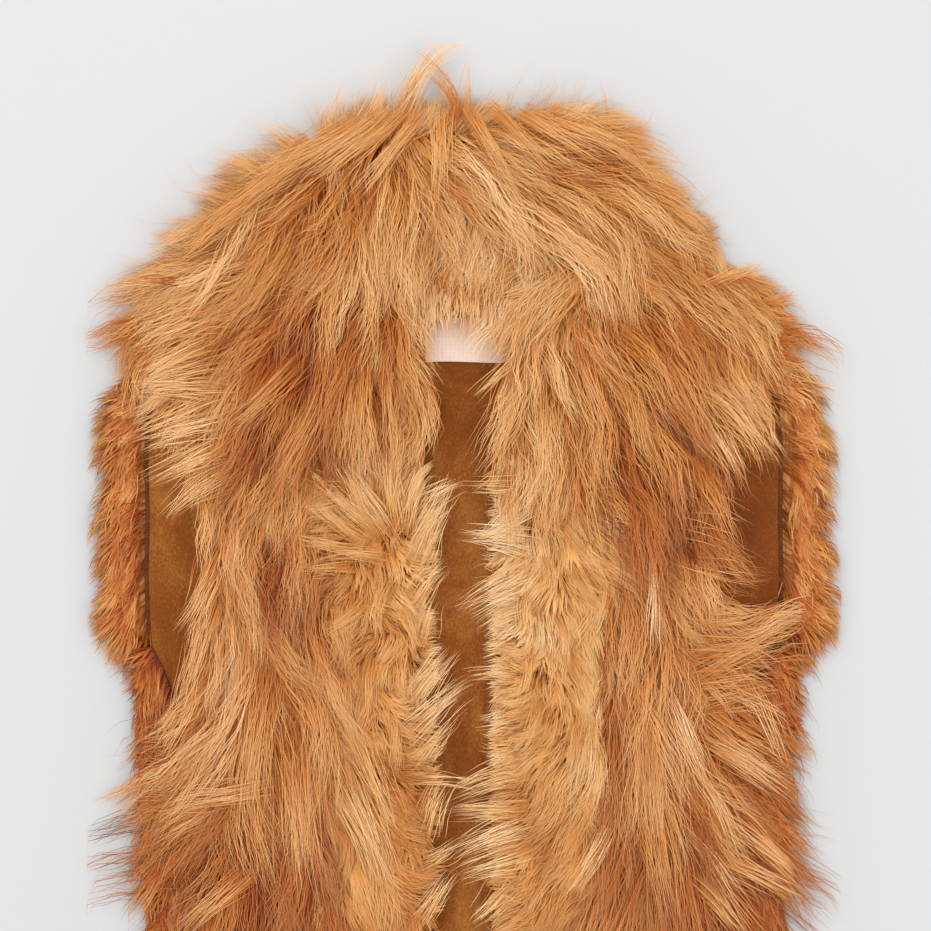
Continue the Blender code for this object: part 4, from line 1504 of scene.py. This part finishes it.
@dataclass
class NeckLabel:
    """The bare cotton label at the back neck, sewn down along its top and its ends."""

    columns: int = 40
    rows: int = 20
    thickness: float = 0.7
    stitch: float = 2.2
    stitch_step: float = 3.6
    inset: float = 2.2
    gap: float = 0.05  # between label and lining
    sag: float = 0.5  # of its free lower edge
    billow: float = 0.7  # height of that edge
    ripple: float = 0.5

    def build(self, cotton: bpy.types.Material) -> None:
        """Makes the label and its stitches."""
        low, high = (corner / MM for corner in map(np.array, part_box("neck_label")))
        made, u, v = new_grid("label", self.columns, self.rows)
        x = (low[0] + high[0]) / 2 + u * (high[0] - low[0]) / 2
        y = (low[1] + high[1]) / 2 + v * (high[1] - low[1]) / 2
        free = (1 - u**4) * (1 - v) / 2
        y = y - self.sag * np.sin(u * 2.6) * free
        z = low[2] + self.gap + free * (self.billow + self.ripple * np.sin(u * 5.0))
        set_points(made, x, y, z)
        add_modifier(made, "SOLIDIFY", {"thickness": self.thickness * MM, "offset": 1.0})
        add_modifier(
            made,
            "BEVEL",
            {"width": 0.2 * MM, "segments": 2, "limit_method": "ANGLE", "angle_limit": 0.9},
        )
        made.data.materials.append(cotton)
        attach(made, "root")
        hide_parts("neck_label")
        stitches = self.sew(low, high, cotton)
        LOG.info("label: %d faces, stitches: %d", len(made.data.polygons), len(stitches.data.polygons))

    def sew(self, low: np.ndarray, high: np.ndarray, thread: bpy.types.Material) -> bpy.types.Object:
        """Sews short stitches along the label's top and both ends."""
        left, right = low[0] + self.inset, high[0] - self.inset
        top, bottom = high[1] - self.inset, low[1] + self.inset
        spots = []
        for step in np.arange(left, right, self.stitch_step):
            spots.append((step + self.stitch / 2, top, 0.0))
        for step in np.arange(bottom, top - self.stitch_step, self.stitch_step):
            spots.append((left, step + self.stitch / 2, math.pi / 2))
            spots.append((right, step + self.stitch / 2, math.pi / 2))
        bpy.ops.object.select_all(action="DESELECT")
        bpy.ops.mesh.primitive_uv_sphere_add(segments=8, ring_count=6, radius=1.0)
        pattern = bpy.context.active_object
        made = []
        for x, y, turn in spots:
            copy = bpy.data.objects.new("stitch", pattern.data.copy())
            bpy.context.scene.collection.objects.link(copy)
            copy.location = (x * MM, y * MM, (low[2] + 1.25) * MM)
            copy.rotation_euler = (0, 0, turn)
            copy.scale = (self.stitch / 2 * MM, 0.25 * MM, 0.2 * MM)
            made.append(copy)
        bpy.data.objects.remove(pattern)
        bpy.ops.object.select_all(action="DESELECT")
        for copy in made:
            copy.select_set(True)
        bpy.context.view_layer.objects.active = made[0]
        bpy.ops.object.join()
        joined = bpy.context.active_object
        joined.name = "label_stitches"
        settle(joined)
        joined.data.materials.append(thread)
        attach(joined, "root")
        return joined


@dataclass
class Studio:
    """Pale card below, large soft lights around, and the camera straight above."""

    middle: tuple[float, float] = (1.2, 161.0)  # mm, the photograph's middle
    frame_width: float = 620.7  # mm that the photograph is wide at the coat's face
    face_height: float = 42.0
    lens: float = 85.0
    sensor: float = 36.0
    sky: float = 0.89

    def build(self) -> None:
        """Sets up the floor, the lights, the world and the camera."""
        bpy.ops.object.select_all(action="DESELECT")
        bpy.ops.mesh.primitive_plane_add(size=8.0, location=(0, 0, 0))
        floor = bpy.context.active_object
        floor.name = "card_floor"
        floor.data.materials.append(PaperFinish().make())

        world = bpy.context.scene.world or bpy.data.worlds.new("studio")
        bpy.context.scene.world = world
        world.use_nodes = True
        sky = world.node_tree.nodes["Background"]
        sky.inputs["Color"].default_value = (1.0, 1.0, 1.0, 1.0)
        sky.inputs["Strength"].default_value = self.sky
        self.add_light("key", (-0.7, 1.0, 2.4), 2.4, 46.0)
        self.add_light("fill", (1.2, -0.4, 2.3), 2.2, 26.0)

        camera = bpy.data.cameras.new("camera")
        camera.lens = self.lens
        camera.sensor_width = self.sensor
        distance = self.frame_width * self.lens / self.sensor
        made = bpy.data.objects.new("camera", camera)
        bpy.context.scene.collection.objects.link(made)
        made.location = (
            self.middle[0] * MM,
            self.middle[1] * MM,
            (self.face_height + distance) * MM,
        )
        bpy.context.scene.camera = made
        bpy.context.scene.view_settings.view_transform = "Standard"

    def add_light(self, name: str, place: tuple, size: float, power: float) -> None:
        """Adds a square soft light that looks at the vest's middle."""
        light = bpy.data.lights.new(name, "AREA")
        light.size = size
        light.energy = power
        made = bpy.data.objects.new(name, light)
        made.location = place
        target = np.array([0.0, 0.1, 0.0]) - np.array(place)
        across = math.hypot(target[0], target[1])
        made.rotation_euler = (
            math.atan2(across, -target[2]),
            0.0,
            math.atan2(target[1], target[0]) - math.pi / 2,
        )
        bpy.context.scene.collection.objects.link(made)


LONG_TONES = (
    (0.0, "#6a2a05"), (0.15, "#8f4009"), (0.32, "#ac5c19"), (0.5, "#c17a35"),
    (0.68, "#d09150"), (0.84, "#dcab77"), (1.0, "#ebcfae"),
)
COLLAR_TONES = (
    (0.0, "#763209"), (0.15, "#9b490e"), (0.32, "#b5651c"), (0.5, "#c8853d"),
    (0.68, "#d69f5f"), (0.84, "#e2b682"), (1.0, "#eed6b8"),
)
BAND_TONES = (
    (0.0, "#954c15"), (0.3, "#b76f2a"), (0.5, "#c98640"), (0.7, "#d79f5a"),
    (0.85, "#e3bc88"), (1.0, "#f0dcc0"),
)
# painted shade: band hair is darkened towards its root, as if shaded in the pile
BAND_PAINTED_ROOT_SHADE = ((0.0, "#dfb086"), (0.25, "#f0d8bd"), (0.55, "#ffffff"))

RIM_COMBS = comb_rows(
    (-209, 262, 196, 38, 0.40), (-196, 283, 190, 48, 0.46), (-180, 300, 190, 56, 0.50),
    (-165, 317, 188, 58, 0.52), (-149, 333, 186, 58, 0.54), (-135, 344, 184, 58, 0.52),
    (-120, 357, 178, 58, 0.52), (-105, 368, 150, 50, 0.54), (-90, 376, 118, 44, 0.56),
    (-75, 384, 82, 38, 0.60), (-60, 390, 70, 40, 0.62), (-45, 391, 64, 40, 0.64),
    (-30, 392, 64, 38, 0.62), (-15, 393, 62, 34, 0.56), (0, 394, 48, 34, 0.52), (15, 394, 30, 46, 0.50),
    (30, 392, 28, 46, 0.54), (45, 391, 28, 48, 0.58), (60, 390, 28, 48, 0.58), (75, 384, 36, 50, 0.58),
    (90, 376, 28, 46, 0.54), (105, 368, 14, 38, 0.50), (120, 357, 2, 34, 0.48),
    (135, 344, -12, 32, 0.50), (150, 332, -26, 32, 0.52), (165, 317, -36, 28, 0.54),
    (180, 300, -42, 24, 0.50), (196, 283, 16, 24, 0.48), (209, 262, -30, 26, 0.42),
)

COLLAR_LOCKS = lock_rows(
    (-30, 397, -122, 78, -12, 40, 4.0, 4, 0.60, 0.62, 0.8),
    (-44, 398, -136, 76, -10, 40, 4.0, 4, 0.56, 0.62, 0.8),
    (-58, 396, -146, 70, 8, 40, 4.0, 4, 0.60, 0.62, 0.8),
    (-72, 391, -150, 66, -8, 38, 4.0, 4, 0.54, 0.62, 0.8),
    (-88, 383, -148, 62, 8, 36, 4.0, 4, 0.54, 0.62, 0.8),
    (-104, 374, -144, 60, -8, 36, 4.0, 4, 0.50, 0.62, 0.8),
    (-120, 362, -142, 58, 8, 34, 4.0, 4, 0.52, 0.62, 0.8),
    (-138, 347, -140, 56, -6, 34, 4.0, 4, 0.48, 0.62, 0.8),
    (-154, 333, -140, 54, 6, 34, 4.0, 4, 0.50, 0.62, 0.8),
    (-14, 399, -96, 66, 12, 36, 4.0, 4, 0.58, 0.62, 0.8),
    (4, 400, -66, 70, 14, 40, 4.0, 4, 0.56, 0.62, 0.8),
    (20, 400, -40, 74, -10, 40, 4.0, 4, 0.50, 0.62, 0.8),
    (38, 399, -26, 72, -8, 40, 4.0, 4, 0.56, 0.62, 0.8),
    (56, 396, -16, 66, -14, 38, 4.0, 4, 0.58, 0.62, 0.8),
    (74, 390, -20, 54, -22, 34, 4.0, 4, 0.56, 0.62, 0.8),
    (92, 381, -30, 46, -22, 30, 4.0, 4, 0.52, 0.62, 0.8),
    (110, 370, -38, 36, -20, 26, 3.5, 2, 0.50, 0.62, 0.8),
    (-42, 394, 78, 86, -52, 44, 4.0, -18, 0.80, 0.92), (-6, 394, 92, 66, 60, 34, 3.5, -18, 0.48, 0.92),
    (2, 392, 94, 58, -8, 14, 3.5, -16, 0.56, 0.85), (-40, 388, 84, 58, -40, 16, 7.0, -9, 0.72),
    (-66, 386, 84, 50, -34, 22, 7.0, -9, 0.70), (-86, 380, 96, 46, -34, 22, 6.0, -9, 0.66),
    (-104, 370, 140, 46, 18, 22, 6.0, -9, 0.62), (-128, 354, 142, 46, 28, 22, 6.0, -9, 0.62),
    (-150, 338, 150, 46, 28, 22, 6.0, -9, 0.60), (-172, 314, 158, 44, 24, 22, 6.0, -9, 0.56),
    (-190, 286, 186, 40, -14, 14, 3.0, 0, 0.20), (-166, 330, 205, 56, 10, 26, 6.0, 0, 0.66),
    (98, 376, 86, 54, 18, 8, 3.0, -9, 0.40), (110, 368, 72, 46, -12, 8, 3.0, -9, 0.46),
    (60, 388, 40, 40, -26, 20, 6.0, 0, 0.68), (126, 322, -14, 46, -20, 24, 4.0, 0, 0.68),
    (160, 284, 12, 46, 20, 24, 4.0, 0, 0.62), (-23, 284, -84, 44, -8, 18, 4.0, -20, 0.80),
    (-14, 286, -84, 44, -8, 12, 6.0, -16, 0.74, 0.3, 0.4),
    (0, 286, -94, 34, 10, 14, 6.0, -16, 0.70, 0.3, 0.4),
    (16, 286, -98, 44, 10, 14, 6.0, -16, 0.76, 0.3, 0.4),
    (8, 290, -86, 52, -14, 6, 6.0, -16, 0.64, 0.2, 0.4), (25, 284, -100, 48, -8, 18, 4.0, -20, 0.80),
    (78, 388, 16, 56, -34, 34, 5.0, 2, 0.54, 0.5, 0.8),
    (92, 380, 8, 52, -34, 34, 5.0, 2, 0.50, 0.5, 0.8),
    (104, 372, 0, 50, -34, 32, 5.0, 2, 0.52, 0.5, 0.8),
    (114, 360, -10, 48, -30, 30, 5.0, 2, 0.48, 0.5, 0.8),
    (126, 348, -20, 46, -26, 30, 5.0, 2, 0.52, 0.5, 0.8),
    (138, 336, -30, 44, -20, 28, 5.0, 2, 0.48, 0.5, 0.8),
)
LAPEL_LEFT_LOCKS = lock_rows(
    (-160, 214, 176, 62, 16, 56, 8.0, 4, 0.74), (-158, 192, 186, 66, 18, 60, 8.0, 4, 0.76),
    (-154, 176, 198, 70, 18, 54, 7.0, 2, 0.74), (-168, 240, 198, 58, 14, 46, 7.0, 4, 0.68),
    (-156, 160, 212, 60, 14, 36, 6.0, 0, 0.72), (-36, 262, -68, 46, 14, 20, 5.0, -14, 0.66),
    (-40, 240, -62, 40, 20, 20, 5.0, -6, 0.68), (-110, 232, -128, 74, -12, 50, 6.0, 6, 0.46),
    (-92, 214, -112, 78, -14, 50, 6.0, 6, 0.48), (-70, 226, -98, 76, 12, 50, 6.0, 6, 0.50),
)
LAPEL_RIGHT_LOCKS = lock_rows(
    (36, 262, -118, 48, -16, 20, 5.0, -14, 0.67), (38, 238, -128, 50, -18, 16, 5.0, -6, 0.71),
    (36, 222, -116, 44, -14, 14, 5.0, -4, 0.71), (168, 218, -62, 62, 18, 34, 6.0, 3, 0.69),
    (158, 192, -48, 58, -22, 32, 6.0, 2, 0.73), (176, 234, -70, 58, 22, 28, 5.0, 2, 0.63),
    (78, 240, -84, 72, 24, 46, 6.0, 6, 0.55), (100, 224, -62, 74, -22, 46, 6.0, 6, 0.50),
    (60, 214, -104, 66, 22, 40, 6.0, 6, 0.59), (152, 214, -24, 92, -58, 14, 3.0, 4, 0.66, 0.6, 0.8),
    (166, 192, -20, 62, -70, 10, 4.0, 3, 0.62, 0.4, 0.8),
)
FRONT_LEFT_LOCKS = lock_rows(
    (-126, -55, 184, 80, 8, 50, 5.0, 6, 0.72), (-166, 100, -108, 62, -10, 44, 5.0, 2, 0.72),
    (-168, 74, -104, 66, -6, 50, 5.0, 2, 0.70), (-176, 46, -102, 60, -6, 40, 5.0, 2, 0.70),
    (-150, -66, 196, 64, 16, 44, 5.0, 5, 0.62), (-140, -110, 210, 68, 20, 48, 5.0, 5, 0.64),
    (-112, -20, -78, 100, -12, 70, 7.0, 8, 0.58), (-138, 20, -88, 100, -16, 70, 7.0, 7, 0.62),
    (-150, -40, -110, 90, -20, 60, 6.0, 6, 0.30), (-124, -90, -84, 90, 12, 60, 6.0, 6, 0.24),
    (-148, -19, -118, 66, -16, 20, 4.0, 5, 0.78, 0.6, 0.5),
    (-158, -6, -130, 58, -14, 18, 4.0, 5, 0.76, 0.6, 0.5),
    (-119, -31, -80, 108, -6, 26, 4.0, 6, 0.66, 0.6, 0.5),
    (-170, -30, -112, 62, -18, 18, 4.0, 5, 0.72, 0.5, 0.5),
)
FRONT_RIGHT_LOCKS = lock_rows(
    (134, 8, -64, 72, -6, 48, 6.0, 7, 0.74), (157, -20, -28, 80, -10, 54, 5.0, 6, 0.70),
    (190, -80, -42, 50, -8, 44, 5.0, 4, 0.66), (156, -112, -46, 60, -8, 50, 5.0, 6, 0.68),
    (170, -100, -20, 64, -10, 46, 5.0, 6, 0.70), (150, 14, 34, 78, -8, 30, 6.0, 6, 0.62, 0.45),
    (146, 2, 20, 72, -14, 26, 6.0, 6, 0.56, 0.45), (152, 58, 2, 56, 12, 22, 5.0, 5, 0.64, 0.45),
    (146, 34, 12, 64, -12, 26, 6.0, 6, 0.54, 0.45), (118, 20, -88, 100, 8, 70, 7.0, 8, 0.46),
    (124, -60, -84, 94, 8, 70, 7.0, 8, 0.52), (150, -60, -70, 80, -10, 60, 6.0, 6, 0.20),
    (136, -100, -86, 80, 6, 60, 6.0, 6, 0.26), (150, 124, -8, 50, -20, 9, 9.0, -3, 0.74, 0.2, 0.5),
    (152, 92, -20, 46, 16, 8, 9.0, -3, 0.70, 0.2, 0.5),
    (190, 14, -56, 74, -24, 14, 4.0, 5, 0.76, 0.5, 0.6),
    (138, 6, -66, 58, -8, 18, 2.5, 6, 0.90, 0.6, 0.7),
    (168, -24, -22, 50, -14, 14, 4.0, 5, 0.78, 0.5, 0.6),
    (156, -46, -54, 70, -20, 16, 4.0, 6, 0.78, 0.5, 0.6),
    (176, -76, -28, 54, -18, 14, 4.0, 5, 0.76, 0.5, 0.6),
    (150, -84, -50, 72, -14, 16, 4.0, 6, 0.78, 0.5, 0.6),
    (125, 98, -90, 76, -4, 16, 1.8, 6, 0.92, 0.6, 0.7),
    (172, 6, -8, 50, -30, 10, 5.0, 5, 0.80, 0.4, 0.6),
)
BAND_LEFT_LOCKS = lock_rows(
    (-56, 114, 132, 58, 14, 44, 3.4, 4, 0.72), (-62, 108, 146, 56, -12, 44, 3.4, 4, 0.66),
    (-50, 116, 116, 58, 16, 44, 3.4, 4, 0.76), (-44, 118, 100, 54, -10, 44, 3.4, 4, 0.72),
    (-37, 118, 84, 48, -22, 40, 3.4, 3, 0.76), (-70, 102, 158, 48, 14, 40, 3.4, 4, 0.62),
    (-74, 92, 172, 42, 18, 40, 3.4, 3, 0.58), (-52, 98, 160, 40, 28, 36, 3.0, 3, 0.62),
    (-60, 120, 122, 46, -16, 40, 3.2, 6, 0.68), (-32, 108, 62, 36, -22, 34, 3.2, 2, 0.78),
    (-50, 84, -120, 40, 34, 36, 3.2, 3, 0.62), (-40, 70, -84, 38, 30, 36, 3.2, 3, 0.66),
    (-64, 72, -128, 38, -30, 36, 3.2, 3, 0.56), (-44, 38, -70, 40, -34, 36, 3.2, 3, 0.64),
    (-60, 30, -110, 42, 34, 36, 3.2, 3, 0.58), (-52, -6, -66, 44, -30, 36, 3.2, 3, 0.62),
    (-84, -50, -60, 92, -8, 75, 8.0, 5, 0.76), (-74, -20, -62, 74, -8, 62, 6.0, 4, 0.68),
    (-28, 112, 70, 46, -14, 52, 5.0, -2, 0.80, 0.4, 0.3),
    (-31, 96, 60, 44, 12, 46, 5.0, -2, 0.78, 0.4, 0.3),
    (-31, 70, 62, 34, -16, 38, 4.5, -3, 0.76, 0.4, 0.3),
    (-31, 44, 64, 32, 14, 36, 4.5, -3, 0.74, 0.4, 0.3),
    (-33, 4, 60, 46, -18, 52, 5.5, -1, 0.82, 0.4, 0.3),
    (-32, -16, 50, 52, -14, 50, 5.5, -1, 0.84, 0.4, 0.3),
    (-29, -34, 46, 36, 12, 38, 5.0, -3, 0.78, 0.4, 0.3),
    (-28, -50, 4, 50, -18, 16, 3.5, 0, 0.78, 0.4, 0.3),
    (-24, -82, 74, 40, -12, 42, 5.0, -3, 0.78, 0.4, 0.3),
    (-26, -142, 62, 40, -14, 42, 5.0, -3, 0.78, 0.4, 0.3),
    (-26, -104, 22, 28, 20, 24, 4.0, -4, 0.78, 0.4, 0.3),
    (-26, 138, 34, 30, -20, 30, 4.0, -4, 0.84, 0.45, 0.3),
)
BAND_RIGHT_LOCKS = lock_rows(
    (48, 128, 104, 40, -30, 36, 3.2, 3, 0.72), (62, 120, 60, 40, 28, 36, 3.2, 3, 0.66),
    (54, 104, -70, 40, -36, 36, 3.2, 3, 0.66), (70, 92, -40, 42, -30, 36, 3.2, 3, 0.58),
    (46, 78, -110, 38, 34, 36, 3.2, 3, 0.70), (62, 62, -64, 42, -34, 36, 3.2, 3, 0.62),
    (48, 36, -120, 38, 32, 36, 3.2, 3, 0.66), (72, 36, -76, 44, 26, 36, 3.2, 3, 0.58),
    (52, 4, -100, 40, -32, 36, 3.2, 3, 0.62), (76, -6, -90, 44, -24, 36, 3.2, 3, 0.58),
    (40, 146, 182, 44, -8, 14, 4.0, 0, 0.80, 0.4, 0.3),
    (41, 134, 222, 42, -14, 46, 5.5, -1, 0.86, 0.4, 0.3),
    (43, 108, 166, 48, 14, 46, 5.0, -1, 0.88, 0.4, 0.3),
    (38, 100, 214, 30, 14, 30, 4.0, -4, 0.76, 0.4, 0.3),
    (40, 84, 202, 46, 12, 48, 6.0, -1, 0.86, 0.4, 0.3),
    (37, 62, 200, 32, 14, 34, 5.0, -4, 0.78, 0.4, 0.3),
    (32, 24, 176, 34, 16, 18, 3.5, 0, 0.80, 0.4, 0.3),
    (32, -46, 192, 46, 14, 40, 5.5, -1, 0.80, 0.4, 0.3),
    (35, -70, 176, 48, 12, 36, 6.0, -1, 0.78, 0.4, 0.3),
    (39, -80, 198, 54, 12, 44, 6.5, -1, 0.84, 0.4, 0.3),
    (37, -104, 188, 42, 14, 40, 6.0, -2, 0.80, 0.4, 0.3),
    (30, -124, 216, 34, 14, 36, 5.0, -3, 0.78, 0.4, 0.3),
    (30, -8, 196, 24, -16, 20, 4.0, -4, 0.80, 0.4, 0.3),
    (98, -80, -118, 56, -12, 30, 4.0, 4, 0.80, 0.5, 0.5),
)


def coats() -> tuple[FurCoat, ...]:
    """The vest's coats, panel by panel."""
    long_hair = (UNDER, GUARD, TOP, STRAY)
    collar_hair = tuple(replace(layer, outward=0.3) for layer in long_hair)
    lapel_hair = tuple(replace(layer, outward=0.8) for layer in long_hair)
    side_hair = (UNDER, GUARD, STRAY)
    band_hair = (BAND_UNDER, BAND_GUARD, BAND_STRAY)
    curly = {"wobble": 24, "wobble_length": 32, "curl": 30, "lock_turn": 12, "full_length": 26,
             "lock_width": 0.32}
    folded = {"roots": Roots.FOLD, "full_length": 30}
    made = [
        FurCoat("collar_hair", "collar_fur", ("collar_back",), "collar_pile", COLLAR_COMBS,
                collar_hair, 33, 11, locks=COLLAR_LOCKS),
        FurCoat("collar_rim_hair", "collar_fur", ("collar_back",), "collar_pile", RIM_COMBS,
                (RIM, RIM_STRAY), 30, 21, lock_turn=12, stands_in=False, full_length=36),
    ]
    # Name, cloth, slot, hair, height, first seed, and the left and right combs and locks
    pairs = (
        ("lapel", "lapel", "collar_fur", lapel_hair, 31, 12, (COLLAR_COMBS, COLLAR_COMBS),
         (LAPEL_LEFT_LOCKS, LAPEL_RIGHT_LOCKS), {}),
        ("front", "front", "long_fur", long_hair, 26, 14, (FRONT_LEFT_COMBS, FRONT_RIGHT_COMBS),
         (FRONT_LEFT_LOCKS, FRONT_RIGHT_LOCKS), {}),
        ("band", "front_band", "band_fur", band_hair, 24, 16, (BAND_LEFT_COMBS, BAND_RIGHT_COMBS),
         (BAND_LEFT_LOCKS, BAND_RIGHT_LOCKS), curly),
        ("side", "side_panel", "long_fur", side_hair, 18, 18, (SIDE_LEFT_COMBS, SIDE_RIGHT_COMBS),
         ((), ()), folded),
    )
    for name, cloth, slot, layers, height, seed, combings, placed, more in pairs:
        for number, side in enumerate(SIDES):
            coat = FurCoat(f"{name}_hair_{side}", slot, (f"{cloth}_{side}",), f"{name}_pile_{side}",
                           combings[number], layers, height, seed + number, locks=placed[number],
                           **more)
            made.append(coat)
    fringe = FurCoat("back_fringe", "long_fur", ("back", "back_pile"), "back_pile", BACK_COMBS,
                     (FRINGE,), 14, 20, roots=Roots.EDGE, stands_in=False, full_length=26)
    return (*made, fringe)


def cloths() -> tuple[FurCloth, ...]:
    """The vest's pieces of fur cloth, with the cut of each in metres."""
    back = FurCloth("back", "back_cloth", (0.434, 0.663), 0.2563, ("back_pressed_pile",),
                    ("back_fringe",))
    # Node, piece, flat size, area, what it rests on, and its fur
    pairs = (
        ("side_panel", "side_cloth", (0.075, 0.433), 0.0197, "back_pressed_pile", "side_hair"),
        ("front", "front_cloth", (0.109, 0.656), 0.0547, "suede_lining", "front_hair"),
        ("front_band", "band_cloth", (0.071, 0.659), 0.0454, "suede_lining", "band_hair"),
        ("lapel", "lapel_cloth", (0.18, 0.121), 0.0168, "front_cloth_{side}", "lapel_hair"),
    )
    paired = [
        FurCloth(f"{node}_{side}", f"{name}_{side}", flat, area, (below.format(side=side),),
                 (f"{fur}_{side}",))
        for node, name, flat, area, below, fur in pairs
        for side in SIDES
    ]
    collar = FurCloth("collar_back", "collar_cloth", (0.43, 0.158), 0.0428, ("back_cloth",),
                      ("collar_hair", "collar_rim_hair"))
    return (back, *paired, collar)


def main() -> None:
    """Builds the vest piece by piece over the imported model."""
    logging.basicConfig(level=logging.INFO, format="%(name)s: %(message)s")
    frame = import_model()
    nodes = frame["nodes"]
    Studio().build()

    fur = {
        "long_fur": FurFinish("long_fur", LONG_TONES),
        "band_fur": FurFinish("band_fur", BAND_TONES, BAND_PAINTED_ROOT_SHADE),
        "collar_fur": FurFinish("collar_fur", COLLAR_TONES),
    }
    materials = {slot: finish.make() for slot, finish in fur.items()}
    knit = KnitFinish().make()

    walls = np.concatenate([triangles_of(nodes[n]) for n in nodes if "pile" not in n])
    cloth, ground = Ground(walls, 1), Ground(walls, 1)
    ground.soften(8.0)

    made = {}
    for coat in coats():
        made[coat.name] = coat.build(nodes, cloth, ground, materials[coat.slot])
    PressedPile().build(nodes, PressedFinish().make())
    Lining().build(nodes, SuedeFinish().make())
    NeckLabel().build(CottonFinish().make())

    for panel in cloths():
        shell = panel.build(nodes, knit)
        panel.declare(shell, tuple(made[name] for name in panel.fur))


if __name__ == "__main__":
    main()
